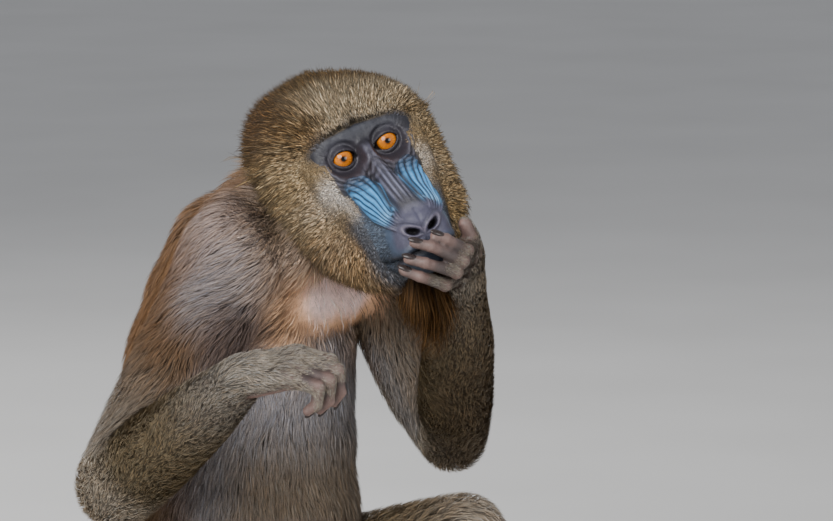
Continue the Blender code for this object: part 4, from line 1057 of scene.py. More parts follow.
def hair_colours(points, normals, belongs, fields, colours):
    """The colour of the hair's bright band at each point of the skin, with painted light and shade on some
    parts.
    """
    back, height = normals[:, 1], points[:, 2]
    share = fields["share"]
    kind = np.array([line[0] for line in BODY_LINES])[fields["line"]]
    body = (belongs == BODY) | (belongs == HAND) | (belongs == FOOT)
    upper = body & np.char.startswith(kind, "upper_arm")
    fore = body & (np.char.startswith(kind, "forearm") | (belongs == HAND))
    leg = body & (np.char.startswith(kind, "thigh") | np.char.startswith(kind, "shin") | (belongs == FOOT))
    forward = -0.77 * normals[:, 1] - 0.64 * np.sign(points[:, 0]) * normals[:, 0]
    near = smooth((0.02 - points[:, 0]) / 0.06)
    front = upper * smooth(forward / 0.5) * smooth((share - 0.03) / 0.1) * smooth((0.50 - share) / 0.2)
    # the bend round each elbow, where the hair is made paler as painted light
    bend = np.where(upper, smooth((share - 0.80) / 0.2), 0.0)
    bend = bend + np.where(fore, smooth((0.22 - share) / 0.2), 0.0)

    def spot(centre, radius, strength):
        """The share of a round spot on both sides of the body."""
        return strength * patch(points, centre, radius, True)

    found = layered(
        tiled(colours.back, len(points)),
        (colours.flank, 0.80 * smooth((0.20 - back) / 0.6)),
        ((0.165, 0.122, 0.070), 0.80 * (smooth((back + 0.1) / 0.5) * smooth((0.34 - height) / 0.16))),
        ((0.17, 0.13, 0.085), 0.85 * (smooth((-back - 0.20) / 0.5) * smooth((0.28 - height) / 0.06))),
        # shoulders, sides of the neck and breast
        (colours.shoulder, spot((0.078, -0.078, 0.413), 0.032, 0.95)),
        ((0.15, 0.11, 0.080), spot((0.062, -0.086, 0.386), 0.015, 0.45)),
        # the grey of the inner arms and flanks, made lighter as painted light where they face away from the
        # lamps
        ((0.40, 0.44, 0.52), spot((0.062, -0.092, 0.330), 0.026, 0.95)),
        # the peach throat under the cheek, made lighter as painted light where the head shades it
        ((0.80, 0.56, 0.38), spot((-0.038, -0.104, 0.372), 0.032, 0.95)),
        ((0.66, 0.38, 0.18), spot((-0.044, -0.102, 0.338), 0.028, 0.90)),
        ((0.27, 0.185, 0.095), spot((0.050, -0.096, 0.402), 0.022, 0.95)),
        # the chest's pale pink, lifted near white as painted light where the head and the raised arm shade it
        ((1.00, 0.80, 0.74), smooth((fields["chest"] - 0.58) / 0.30)),
        # arms and legs
        (colours.arm, upper * smooth((share - 0.05) / 0.30)),
        ((0.125, 0.092, 0.080), 0.90 * front),
        ((0.17, 0.13, 0.115), spot((0.092, -0.070, 0.380), 0.026, 0.75)),
        ((0.200, 0.175, 0.140), 0.80 * upper * smooth((share - 0.30) / 0.45)),
        (colours.flank, 0.85 * upper * smooth((share - 0.28) / 0.2) * smooth((forward - 0.10) / 0.5)),
        (colours.forearm, np.where(fore, 1.0, 0.0) * smooth(share / 0.25 + 0.3)),
        ((0.26, 0.20, 0.12), np.where(leg, 0.9, 0.0)),
        ((0.42, 0.37, 0.31), 0.8 * leg * patch(points, (0.088, -0.178, 0.165), 0.040, True)),
        ((0.30, 0.26, 0.20), 0.6 * (leg * smooth((0.05 - np.abs(points[:, 0])) / 0.03))),
        # the elbows paler: painted light where they catch the light
        ((0.48, 0.42, 0.33), 0.8 * np.clip(1.3 * bend, 0, 1)),
        # grey towards the hands' backs, and the arm held up to the face darker: painted shade for the shadow
        # that it lies in
        ((0.25, 0.225, 0.19), fore * smooth((share - 0.45) / 0.5) * near * 0.9),
        ((0.150, 0.112, 0.070), 0.8 * (upper | fore) * (1 - near) * smooth((0.30 - back) / 0.5)),
        ((0.17, 0.115, 0.06), np.where(body & (kind == "tail"), 0.9, 0.0)),
    )
    # the head: crown, cheeks, brow, her right side and nape, then pale beside and below the eye
    place = fields["place"]
    x, y, z = place[:, 0], place[:, 1], place[:, 2]
    side = np.abs(x)
    front = smooth((0.030 - y) / 0.02) * smooth((z - 0.012) / 0.01)
    below = np.sqrt((side - 0.036) ** 2 + (z + 0.020) ** 2 + (0.6 * (y + 0.018)) ** 2)
    beside = np.sqrt((side - 0.047) ** 2 + (z - 0.004) ** 2 + (0.6 * (y - 0.008)) ** 2)
    fringe = bell(hair_share(place, 0.016) - 0.45, 0.38) * smooth((-0.010 - z) / 0.008)
    fringe = fringe * smooth((z + 0.064) / 0.014)
    narrow, wide = 1 - hair_share(place, 0.012), 1 - hair_share(place, 0.040)
    head = layered(
        tiled(colours.crown, len(points)),
        ((0.275, 0.190, 0.088), smooth((0.024 - z) / 0.03)),
        ((0.33, 0.225, 0.122), smooth((-0.030 - z) / 0.03) * smooth((0.030 - x) / 0.03)),
        ((0.42, 0.34, 0.225), 0.85 * front * smooth((x + 0.034) / 0.02)),
        ((0.125, 0.066, 0.026), 0.9 * smooth((-x - 0.014) / 0.03) * smooth((z - 0.004) / 0.03)),
        ((0.22, 0.150, 0.078), 0.8 * smooth((y - 0.050) / 0.04)),
        ((0.70, 0.64, 0.56), np.where(x < 0, 0.95, 0.50) * bell(below, 0.0110)),
        ((0.40, 0.31, 0.19), 0.7 * bell(beside, 0.014)),
        ((0.58, 0.41, 0.28), 0.9 * smooth((-0.078 - z) / 0.014) * smooth((y + 0.030) / 0.03)),
        # a whitish fringe beside the blue ridges, and the dark edges of the hair
        ((0.52, 0.50, 0.47), np.where(x < 0, 0.75, 0.45) * fringe),
        ((0.060, 0.060, 0.064), 0.85 * smooth(narrow * 1.6 - 0.1) * smooth(z / 0.012)),
        ((0.125, 0.145, 0.180), smooth(wide * 1.6 - 0.2) * smooth((-0.034 - z) / 0.014) * 0.90),
    )
    on_head = (belongs == HEAD) | (belongs == EAR)
    return np.where(on_head[:, None], head, found)


def skin_colours(points, normals, belongs, fields, colours):
    """The bare skin's colour at each point, with painted shade and highlights in the face's folds and hollows
    and between the fingers.
    """
    count = len(points)
    place = fields["place"]
    y, z = place[:, 1], place[:, 2]
    marks = face_fields(place)
    side = marks["side"]
    muzzle = smooth((-0.026 - z) / 0.022) * smooth((-0.012 - y) / 0.012)
    strong = smooth((-0.024 - y) / 0.014)
    flank = smooth(marks["flank"] * 1.6)
    nose = np.clip(1.15 * marks["ridge"], 0, 1)
    # the nose's pale streaks: painted highlights on its long ridges
    nose_ridge_highlight = bell(side - 0.0021, 0.0007) + 0.8 * bell(side - 0.0060, 0.0008)
    beside = bell(side - 0.0112, 0.0011) * smooth((-0.012 - y) / 0.008) * smooth((y + 0.040) / 0.010)
    lips = smooth((-0.046 - y) / 0.006) * bell(z - mouth_level(side), 0.0042)
    ring = eye_ring(side, z)
    near = smooth((0.008 - y) / 0.008)
    below = near * smooth((-z + 0.003) / 0.006)
    above = near * smooth((z - 0.001) / 0.006)
    # painted shade in the hollows of the folds below the eye, and painted highlights on their crests
    dark = bell(ring - 0.0169, 0.0007) + 0.8 * bell(ring - 0.0201, 0.0007) + 0.6 * bell(ring - 0.0232, 0.0007)
    pale = bell(ring - 0.0150, 0.0009) + bell(ring - 0.0186, 0.0008) + 0.6 * bell(ring - 0.0217, 0.0008)
    fold = bell(ring - 0.0126, 0.0006) + 0.6 * bell(ring - 0.0152, 0.0006)
    inside = eye_opening(side - EYE_SPACING / 2, z)
    rim = near * smooth((0.0150 - ring) / 0.002)
    bar = np.exp(-((side / 0.036) ** 6)) * bell(z - 0.0150 - 0.10 * (0.02 - side), 0.0070) * near
    over, hole = nostril(side, z)
    at_tip = smooth((-0.080 - y) / 0.004)
    face = layered(
        tiled((0.020, 0.023, 0.031), count),
        (colours.muzzle, muzzle),
        ((0.024, 0.030, 0.043), 0.70 * muzzle * smooth((-0.064 - z) / 0.012)),
        # blue, strongest low on the flanks and greyer near the eye and at the edges
        ((0.060, 0.130, 0.205), 0.9 * flank * (1 - strong)),
        (colours.cheek, flank * strong),
        ((0.22, 0.42, 0.62), 0.45 * smooth((-0.066 - y) / 0.014) * flank),
        ((0.045, 0.110, 0.190), 0.55 * smooth((marks["run"] - 4.6) / 1.4) * flank),
        # the nose: a dull violet brown, with paler streaks that are painted highlights on its long ridges,
        # and the furrow beside it darkened as painted shade
        ((0.019, 0.017, 0.027), nose),
        ((0.240, 0.250, 0.360), 0.74 * nose * nose_ridge_highlight * smooth((y + 0.080) / 0.02)),
        ((0.010, 0.009, 0.012), 0.90 * marks["furrow"]),
        ((0.100, 0.092, 0.120), 0.5 * beside),
        ((0.062, 0.060, 0.092), smooth((-0.080 - y) / 0.008) * smooth((z + 0.073) / 0.006)),
        ((0.020, 0.016, 0.018), 0.85 * lips),
        # round the eyes: violet brown with nearly black rims; the dark lines below the eye and over the upper
        # lid are painted shade in the folds' hollows, and the pale lines below it and on the lower lid's edge
        # are painted highlights
        ((0.034, 0.028, 0.035), 0.85 * near * np.exp(-((ring / 0.0205) ** 6))),
        ((0.008, 0.007, 0.009), 0.85 * below * dark),
        ((0.120, 0.114, 0.140), 0.55 * below * pale),
        ((0.014, 0.012, 0.015), 0.75 * above * smooth((ring - 0.0105) / 0.003)),
        ((0.085, 0.080, 0.098), 0.45 * above * fold),
        ((0.006, 0.005, 0.006), rim * smooth((inside + 0.0010 - 0.0004 * (z < 0)) / 0.0005)),
        ((0.130, 0.128, 0.150), 0.60 * rim * bell(inside + 0.0018, 0.0004) * (z < -0.001)),
        ((0.008, 0.007, 0.009), 0.8 * rim * bell(inside + 0.0036, 0.0006) * (z > 0.0)),
        ((0.036, 0.039, 0.050), 0.55 * bar),
        # nostrils: the pale raised rim is a painted highlight, the dark pit and the dark crease over the wing
        # are painted shade
        ((0.170, 0.145, 0.180), 0.65 * at_tip * bell(hole - 1.55, 0.22)),
        ((0.010, 0.008, 0.009), at_tip * smooth((1.20 - hole) / 0.40)),
        ((0.022, 0.020, 0.028), 0.6 * at_tip * bell(hole - 2.35, 0.22) * smooth(over / 0.002)),
    )
    bare_share = smooth((0.55 - hair_share(place)) / 0.4)[:, None]
    scalp = layered(tiled((0.060, 0.048, 0.036), count), ((0.50, 0.36, 0.28), smooth((-0.082 - z) / 0.012)))
    face = scalp * (1 - bare_share) + face * bare_share
    found = layered(
        tiled((0.085, 0.065, 0.055), count),
        ((0.80, 0.45, 0.25), np.clip(1.5 * fields["chest"], 0, 1)),
        # the chest's pale pink skin, lifted near white as painted light where the head and the raised arm
        # shade it
        ((0.98, 0.72, 0.66), smooth((fields["chest"] - 0.58) / 0.30)),
    )
    found = np.where((belongs == HEAD)[:, None], face, found)
    found = layered(found, ((0.115, 0.080, 0.070), np.where(belongs == EAR, 1.0, 0.0)))
    for number in SIDES:
        reach = np.linalg.norm(points - array(WRIST[number]), axis=1)
        palm = smooth((normals @ array(HAND_PALM[number]) - 0.1) / 0.5)
        tone = layered(
            tiled((0.060, 0.045, 0.042), count),
            ((0.190, 0.115, 0.095), palm),
            ((0.210, 0.130, 0.110), 0.55 * fields["knuckle"]),
            # painted shade in the gaps between the fingers
            ((0.020, 0.014, 0.013), 0.85 * fields["finger_gap_shade"]),
        )
        found = np.where(((belongs == HAND) & (reach < HAND_REACH))[:, None], tone, found)
    sole = smooth((-normals[:, 2] - 0.1) / 0.5)
    tone = layered(tiled((0.125, 0.092, 0.084), count), ((0.200, 0.130, 0.112), sole))
    found = np.where((belongs == FOOT)[:, None], tone, found)
    pads = (belongs == BODY) & (points[:, 2] < 0.024) & (points[:, 1] > -0.01)
    pads = pads & (np.abs(points[:, 0]) < 0.066)
    return layered(found, ((0.36, 0.20, 0.21), np.where(pads, 0.9, 0.0)))


def scattered(random, weight, count):
    """Random places on the skin's triangles: which triangle, and the shares of its three corners."""
    pick = random.choice(len(weight), size=count, p=weight / weight.sum())
    share = random.random((count, 2))
    over = share.sum(axis=1) > 1
    share[over] = 1 - share[over]
    return pick, np.stack([1 - share.sum(axis=1), share[:, 0], share[:, 1]], axis=1)


def chart(points, region):
    """A place on an unwrap of the skin for each root: round and along the part that it grows on."""
    if region == "head":
        place = to_head(points)
        round_it = np.arctan2(place[:, 0], place[:, 2] + 0.02) / (2 * math.pi) + 0.5
        return np.stack([round_it, np.clip((place[:, 1] + 0.10) / 0.23, 0, 1)], axis=1)
    _, start, end, _, _ = BODY_LINES[LINE_NUMBER[region]]
    run = array(end - start)
    axis = run / np.linalg.norm(run)
    across = normalised(np.cross(axis, array((0.31, 1.0, 0.12))))
    over = np.cross(axis, across)
    out = points - array(start)
    round_it = np.arctan2(out @ across, out @ over) / (2 * math.pi) + 0.5
    along = np.clip((out @ axis / np.linalg.norm(run) + 0.35) / 1.7, 0, 1)
    return np.stack([round_it, along], axis=1)


# Sections of a tuft: place along it and share of its full width
FULL_TUFT = ((0.0, 0.55), (0.42, 1.0), (0.76, 0.66), (1.0, 0.0))
SLIM_TUFT = ((0.0, 0.60), (0.58, 1.0), (1.0, 0.0))
TIP_TUFT = ((0.44, 0.70), (0.74, 1.0), (1.0, 0.0))


# How tufts lie, from 0 upright to 1 flat, how much their tones differ, and how many are dark and how dark
PLUSH = (0.50, 0.24, 0.24, 0.45)
SLEEK = (0.92, 0.15, 0.12, 0.72)
SPARSE = (0.92, 0.50, 0.45, 0.22)
HANGING = (1.0, 0.40, 0.35, 0.40)


def tuft_rings(form, ends, ways, normals, roll, wide):
    """The points of every tuft: a smooth curve from root to tip, widened across its slope at each step."""
    root, tip = ends
    start_way, end_way = ways
    normal, tip_normal = normals
    rings = []
    for step, spread in form:
        square, cube = step * step, step ** 3
        place = (2 * cube - 3 * square + 1) * root + (cube - 2 * square + step) * start_way
        place = place + (3 * square - 2 * cube) * tip + (cube - square) * end_way
        slope = (6 * square - 6 * step) * (root - tip) + (3 * square - 4 * step + 1) * start_way
        slope = normalised(slope + (3 * square - 2 * step) * end_way)
        facing = normalised(normal * (1 - step) + tip_normal * step)
        across = normalised(np.cross(slope, facing))
        over = np.cross(across, slope)
        across = across * np.cos(roll)[:, None] + over * np.sin(roll)[:, None]
        if spread:
            half = across * (wide * spread / 2)[:, None]
            rings.append(place - half)
            rings.append(place + half)
        else:
            rings.append(place)
    co = np.stack(rings, axis=1)
    co[..., 2] = np.maximum(co[..., 2], TUFT_FLOOR)
    return co


def tuft_mesh(name, co, form):
    """One mesh of all the tufts, and the order of the corners within a tuft: its squares, then its tip."""
    count, points_each = co.shape[:2]
    squares = len(form) - 2
    order = [2 * step + index for step in range(squares) for index in (0, 1, 3, 2)]
    order = np.array(order + [2 * squares + index for index in range(3)])
    corner = (np.arange(count)[:, None] * points_each + order).ravel()
    mesh = bpy.data.meshes.new(name)
    mesh.vertices.add(count * points_each)
    mesh.vertices.foreach_set("co", co.astype(np.float32).ravel())
    mesh.loops.add(count * len(order))
    mesh.loops.foreach_set("vertex_index", corner.astype(np.int32))
    mesh.polygons.add(count * (squares + 1))
    starts = (np.arange(count)[:, None] * len(order) + np.arange(squares + 1) * 4).ravel()
    mesh.polygons.foreach_set("loop_start", starts.astype(np.int32))
    mesh.update(calc_edges=True)
    return mesh, order


def coat_piece(name, skin, weight, count, seed, width, regions, form=FULL_TUFT, nature=SLEEK):
    """One piece of coat: tufts that rise from their roots and lie down along the body, in one mesh."""
    flat_share, differ, dark_share, dark = nature
    free = nature is HANGING
    random = np.random.default_rng(seed)
    pick, share = scattered(random, weight, count)
    corners = skin["triangles"][pick]

    def at(values):
        """The values at the roots, from those of their triangles' corners."""
        return np.sum(values[corners] * (share if values.ndim == 1 else share[..., None]), axis=1)

    root = at(skin["points"])
    normal = normalised(at(skin["normals"]))
    lie = at(skin["lie"])
    depth = at(skin["depth"])
    length = at(skin["length"])
    tint = at(skin["tint"])
    size = random.uniform(0.62, 1.12, count)
    length = length * size
    lie = lie + random.normal(0, 0.20 if nature is PLUSH else 0.11, (count, 3))
    if not free:
        lie = lie - normal * np.sum(lie * normal, axis=1, keepdims=True)
    lie = normalised(lie)
    # pull neighbouring tips together into locks
    waves = [ripple(root, 0.014, seed + axis) for axis in range(3)]
    pull = 0.0026 * np.stack(waves, axis=1) * np.minimum(length / 0.03, 1.0)[:, None]
    aim = root + lie * (length * flat_share)[:, None] + pull
    even = 0.55 if nature is PLUSH else 0.78
    tall = depth * (even + (1 - even) * size) * random.uniform(0.86, 1.10, count) + 0.0002
    if free:
        tip, tip_normal = aim, normal
    else:
        found = [skin["tree"].find_nearest(place)[:2] for place in aim]
        tip = np.array([near for near, _ in found])
        tip_normal = np.array([way for _, way in found])
        tip = tip + tip_normal * tall[:, None]
    chord = np.linalg.norm(tip - root, axis=1, keepdims=True)
    start_way = (lie * 0.75 + normal) * chord
    end_lie = normalised((tip - root) - tip_normal * np.sum((tip - root) * tip_normal, axis=1, keepdims=True))
    end_way = (end_lie + tip_normal * (0.02 + 0.9 * (1 - flat_share))) * chord
    root = root - normal * 0.0006
    wide = width * random.uniform(0.70, 1.30, count) * np.minimum(1.0, 0.30 + length / 0.020)
    roll = random.normal(0, 0.60 if nature is PLUSH else 0.35, count)
    co = tuft_rings(form, (root, tip), (start_way, end_way), (normal, tip_normal), roll, wide)
    mesh, order = tuft_mesh(name, co, form)
    # the unwrap's patch of each tuft, and what the material reads
    chance = random.random(count)
    bright = np.exp(random.normal(0, differ, count)) * np.where(chance < dark_share, dark, 1.0)
    warm = random.normal(0, 0.06, (count, 1)) * array((1.0, 0.2, -0.8))
    colour = np.clip(tint * bright[:, None] * (1 + warm), 0.0, 1.0)
    flat = np.zeros((count, 2))
    for number, region in enumerate(regions):
        mine = skin["label"][corners[:, 0]] == (len(BODY_LINES) if region == "head" else LINE_NUMBER[region])
        where = chart(root, region)
        corner_at = array((number / len(regions), 0.0))
        flat[mine] = (where[mine] * array((0.985 / len(regions), 0.985))) + corner_at + 0.003
    steps = [step for step, spread in form for _ in range(2 if spread else 1)]
    sides = [way for step, spread in form for way in ((-1, 1) if spread else (0,))]
    offset = np.stack([sides, steps], axis=1) * array((0.0015, 0.003))
    patchwork = flat[:, None, :] + offset[None]
    table = mesh.uv_layers.new(name="OFBake")
    table.data.foreach_set("uv", patchwork[:, order].astype(np.float32).ravel())
    store(mesh, "tint", np.repeat(colour, len(steps), axis=0))
    store(mesh, "along", np.tile(array(steps), count))
    store(mesh, "chance", np.repeat(chance, len(steps)))
    return mesh


def store(mesh, name, values):
    """Keeps a value or a colour on every point of the mesh, for its material."""
    if values.ndim == 1:
        kept = mesh.attributes.new(name, "FLOAT", "POINT")
        kept.data.foreach_set("value", values.astype(np.float32))
    else:
        kept = mesh.attributes.new(name, "FLOAT_COLOR", "POINT")
        rows = np.concatenate([values, np.ones((len(values), 1))], axis=1)
        kept.data.foreach_set("color", rows.astype(np.float32).ravel())


# Materials


def new_material(name, roughness, specular=0.4):
    """A new material with its shader and the shader's own values."""
    made = bpy.data.materials.new(name)
    made.use_nodes = True
    shader = made.node_tree.nodes["Principled BSDF"]
    shader.inputs["Roughness"].default_value = roughness
    shader.inputs["Specular IOR Level"].default_value = specular
    return made, made.node_tree, shader


def add_node(tree, kind, place, **values):
    """A node at its place in the tree, with its plain settings."""
    made = tree.nodes.new(kind)
    made.location = place
    for key, value in values.items():
        setattr(made, key, value)
    return made


def link(tree, source, output, target, entry):
    """Joins an output of one node to an input of another."""
    tree.links.new(source.outputs[output], target.inputs[entry])


def ramp(tree, place, stops):
    """A colour ramp with its stops given as position and colour."""
    made = tree.nodes.new("ShaderNodeValToRGB")
    made.location = place
    band = made.color_ramp
    while len(band.elements) < len(stops):
        band.elements.new(0.5)
    for element, (where, colour) in zip(band.elements, stops):
        element.position = where
        element.color = (*colour, 1.0)
    return made


def multiplied(tree, place, first, second):
    """The product of two colours."""
    made = add_node(tree, "ShaderNodeMix", place, data_type="RGBA", blend_type="MULTIPLY")
    made.inputs["Factor"].default_value = 1.0
    tree.links.new(first, made.inputs["A"])
    tree.links.new(second, made.inputs["B"])
    return made.outputs["Result"]


def mottle_group():
    """A shared node group: a grey value that wavers round one, from coarse and fine noise."""
    found = bpy.data.node_groups.get("Mottle")
    if found:
        return found
    made = bpy.data.node_groups.new("Mottle", "ShaderNodeTree")
    size = made.interface.new_socket("Scale", in_out="INPUT", socket_type="NodeSocketFloat")
    size.default_value = 200.0
    made.interface.new_socket("Tone", in_out="OUTPUT", socket_type="NodeSocketColor")
    made.interface.new_socket("Height", in_out="OUTPUT", socket_type="NodeSocketFloat")
    enter = add_node(made, "NodeGroupInput", (-600, 0))
    leave = add_node(made, "NodeGroupOutput", (400, 0))
    where = add_node(made, "ShaderNodeTexCoord", (-600, 200))
    noise = add_node(made, "ShaderNodeTexNoise", (-350, 100))
    noise.inputs["Detail"].default_value = 6.0
    noise.inputs["Roughness"].default_value = 0.62
    link(made, where, "Object", noise, "Vector")
    link(made, enter, "Scale", noise, "Scale")
    tone = ramp(made, (-100, 100), [(0.30, (0.82, 0.82, 0.82)), (0.70, (1.16, 1.16, 1.16))])
    link(made, noise, "Fac", tone, "Fac")
    link(made, tone, "Color", leave, "Tone")
    link(made, noise, "Fac", leave, "Height")
    return made


def mottle(tree, place, scale):
    """A node of the mottle group with its own scale."""
    made = add_node(tree, "ShaderNodeGroup", place)
    made.node_tree = mottle_group()
    made.inputs["Scale"].default_value = scale
    return made


def skin_material():
    """Bare skin: the markings kept on its points, painted shade and highlights among them, pores, fine
    creases and a dull natural gloss.
    """
    made, tree, shader = new_material("Mandrill skin", 0.42, 0.36)
    mark = add_node(tree, "ShaderNodeAttribute", (-900, 200), attribute_name="mark")
    coarse = mottle(tree, (-900, 0), 220.0)
    fine = mottle(tree, (-900, -200), 1100.0)
    # the dark grooves between the cheek ridges, drawn from a count kept on the points; the ramp darkens the
    # blue towards each groove, partly the grooves' own colour and partly painted shade that rounds the ridges
    run = add_node(tree, "ShaderNodeAttribute", (-1700, 500), attribute_name="run")
    mask = add_node(tree, "ShaderNodeAttribute", (-1700, 300), attribute_name="grooved")
    part = add_node(tree, "ShaderNodeMath", (-1500, 500), operation="FRACT")
    link(tree, run, "Fac", part, 0)
    groove_shade_levels = [(0.00, 1.0), (0.08, 0.86), (0.20, 0.28), (0.42, 0.0)]
    groove_shade_levels += [(0.58, 0.0), (0.80, 0.28), (0.92, 0.86), (1.00, 1.0)]
    lines = ramp(tree, (-1300, 500), [(where, (level, level, level)) for where, level in groove_shade_levels])
    link(tree, part, "Value", lines, "Fac")
    groove = add_node(tree, "ShaderNodeMath", (-1000, 500), operation="MULTIPLY")
    link(tree, lines, "Color", groove, 0)
    link(tree, mask, "Fac", groove, 1)
    # mixes the grooves' colour and painted shade into the skin's colour
    dark = add_node(tree, "ShaderNodeMix", (-800, 400), data_type="RGBA")
    dark.inputs["B"].default_value = (0.016, 0.022, 0.036, 1.0)
    link(tree, groove, "Value", dark, "Factor")
    link(tree, mark, "Color", dark, "A")
    blend = multiplied(tree, (-600, 150), dark.outputs["Result"], coarse.outputs["Tone"])
    blend = multiplied(tree, (-400, 150), blend, fine.outputs["Tone"])
    tree.links.new(blend, shader.inputs["Base Color"])
    where = add_node(tree, "ShaderNodeTexCoord", (-1150, -450))
    pores = add_node(tree, "ShaderNodeTexVoronoi", (-900, -450), feature="DISTANCE_TO_EDGE")
    pores.inputs["Scale"].default_value = 900.0
    link(tree, where, "Object", pores, "Vector")
    creases = ramp(tree, (-700, -450), [(0.0, (0.0, 0.0, 0.0)), (0.12, (1.0, 1.0, 1.0))])
    link(tree, pores, "Distance", creases, "Fac")
    before = None
    for source, output, strength, height, place, inwards in [
        (creases, "Color", 0.35, 0.00025, -450, False),
        (coarse, "Height", 0.5, 0.0005, -250, False),
        (groove, "Value", 0.9, 0.0006, -50, True),
    ]:
        bump = add_node(tree, "ShaderNodeBump", (place, -300), invert=inwards)
        bump.inputs["Strength"].default_value = strength
        bump.inputs["Distance"].default_value = height
        link(tree, source, output, bump, "Height")
        if before:
            link(tree, before, "Normal", bump, "Normal")
        before = bump
    link(tree, before, "Normal", shader, "Normal")
    return made


BODY_BANDS = [(0.00, 0.45), (0.36, 0.68), (0.62, 0.95), (0.90, 1.10), (1.00, 0.80)]
HEAD_BANDS = [(0.00, 0.14), (0.60, 0.20), (0.73, 1.20), (0.88, 1.62), (0.97, 0.30)]
PLAIN_BANDS = [(0.00, 0.40), (0.30, 0.70), (0.60, 0.95), (0.90, 1.10), (1.00, 0.90)]


def coat_material(name, table, shifted):
    """Banded hair: a dark root, a bright band and a darker tip, in the colour kept on each tuft."""
    made, tree, shader = new_material(name, 0.62, 0.14)
    tint = add_node(tree, "ShaderNodeAttribute", (-1100, 200), attribute_name="tint")
    along = add_node(tree, "ShaderNodeAttribute", (-1100, 0), attribute_name="along")
    chance = add_node(tree, "ShaderNodeAttribute", (-1100, -200), attribute_name="chance")
    shift = add_node(tree, "ShaderNodeMath", (-900, -100), operation="MULTIPLY_ADD")
    shift.inputs[1].default_value = shifted
    link(tree, chance, "Fac", shift, 0)
    link(tree, along, "Fac", shift, 2)
    stops = [(where, (bright, bright * 0.97, bright * 0.95)) for where, bright in table]
    bands = ramp(tree, (-700, 0), stops)
    link(tree, shift, "Value", bands, "Fac")
    speck = mottle(tree, (-700, -300), 700.0)
    blend = multiplied(tree, (-400, 150), tint.outputs["Color"], bands.outputs["Color"])
    blend = multiplied(tree, (-200, 150), blend, speck.outputs["Tone"])
    tree.links.new(blend, shader.inputs["Base Color"])
    return made


def nail_material():
    """Dark horn, a little streaked, with a soft gloss."""
    made, tree, shader = new_material("Mandrill nail", 0.24, 0.38)
    grain = mottle(tree, (-600, 0), 900.0)
    shade = ramp(tree, (-300, 0), [(0.35, (0.012, 0.009, 0.009)), (0.70, (0.044, 0.030, 0.027))])
    link(tree, grain, "Height", shade, "Fac")
    link(tree, shade, "Color", shader, "Base Color")
    return made


def eye_material(side, settings):
    """Iris, pupil, dark limbus and white, laid out round the line of sight in the eye's own frame."""
    made, tree, shader = new_material("Mandrill eye " + SIDES[side], 0.09, 0.34)
    shader.inputs["Coat Weight"].default_value = 0.10
    shader.inputs["Coat Roughness"].default_value = 0.03
    place, turn = eye_pose(side)
    where = add_node(tree, "ShaderNodeTexCoord", (-1500, 0))
    frame_of_eye = add_node(tree, "ShaderNodeMapping", (-1300, 0), vector_type="TEXTURE")
    frame_of_eye.inputs["Location"].default_value = place
    frame_of_eye.inputs["Rotation"].default_value = turn.to_euler()
    link(tree, where, "Object", frame_of_eye, "Vector")
    flat = add_node(tree, "ShaderNodeVectorMath", (-1100, 0), operation="MULTIPLY")
    flat.inputs[1].default_value = (1, 0, 1)
    link(tree, frame_of_eye, "Vector", flat, 0)
    ring = add_node(tree, "ShaderNodeVectorMath", (-900, 0), operation="LENGTH")
    link(tree, flat, "Vector", ring, 0)
    scaled = add_node(tree, "ShaderNodeMath", (-700, 0), operation="MULTIPLY")
    scaled.inputs[1].default_value = 100.0
    link(tree, ring, "Value", scaled, 0)
    iris = settings.iris_radius * 100.0
    pupil = settings.pupil_radius * 100.0
    deep = tuple(settings.iris)
    bands = ramp(tree, (-450, 200), [
        (pupil * 0.92, (0.004, 0.003, 0.003)),
        (pupil * 1.12, tuple(part * 0.40 for part in deep)),
        (pupil * 1.75, deep),
        (iris * 0.74, (min(deep[0] * 1.15, 1), deep[1] * 1.25, deep[2])),
        (iris * 0.92, tuple(part * 0.50 for part in deep)),
        (iris * 1.00, (0.010, 0.006, 0.005)),
        (iris * 1.10, (0.018, 0.012, 0.010)),
        (iris * 1.35, (0.050, 0.036, 0.030)),
    ])
    link(tree, scaled, "Value", bands, "Fac")
    # fine spokes that run out from the pupil
    spread = add_node(tree, "ShaderNodeVectorMath", (-900, -250), operation="NORMALIZE")
    link(tree, flat, "Vector", spread, 0)
    spokes = add_node(tree, "ShaderNodeTexNoise", (-700, -250))
    spokes.inputs["Scale"].default_value = 9.0
    spokes.inputs["Detail"].default_value = 5.0
    link(tree, spread, "Vector", spokes, "Vector")
    streaks = ramp(tree, (-450, -250), [(0.35, (0.70, 0.66, 0.60)), (0.68, (1.20, 1.20, 1.20))])
    link(tree, spokes, "Fac", streaks, "Fac")
    blend = multiplied(tree, (-150, 100), bands.outputs["Color"], streaks.outputs["Color"])
    tree.links.new(blend, shader.inputs["Base Color"])
    return made


def studio_material():
    """The pale floor, very slightly uneven."""
    made, tree, shader = new_material("Studio floor", 0.85, 0.2)
    where = add_node(tree, "ShaderNodeTexCoord", (-700, 0))
    noise = add_node(tree, "ShaderNodeTexNoise", (-500, 0))
    noise.inputs["Scale"].default_value = 3.0
    link(tree, where, "Object", noise, "Vector")
    shade = ramp(tree, (-250, 0), [(0.3, (0.60, 0.59, 0.57)), (0.7, (0.64, 0.63, 0.61))])
    link(tree, noise, "Fac", shade, "Fac")
    link(tree, shade, "Color", shader, "Base Color")
    return made


def eye_pose(side):
    """Where an eye sits and how it is turned: its own y axis is the line of sight, backwards."""
    place = HEAD_TURN @ Vector((side * EYE_SPACING / 2, 0, 0))
    away = (HEAD_BACK + HEAD_UP * 0.02 - CAMERA_BACK * 0.25).normalized()
    across = away.cross(HEAD_UP).normalized()
    over = across.cross(away)
    return place, Matrix((across, away, over)).transposed()


# Sizes and colours that a user would change


def colour_setting(name, description, default):
    """A colour in the sidebar."""
    return bpy.props.FloatVectorProperty(
        name=name, description=description, subtype="COLOR", size=3, min=0.0, max=1.0, default=default
    )


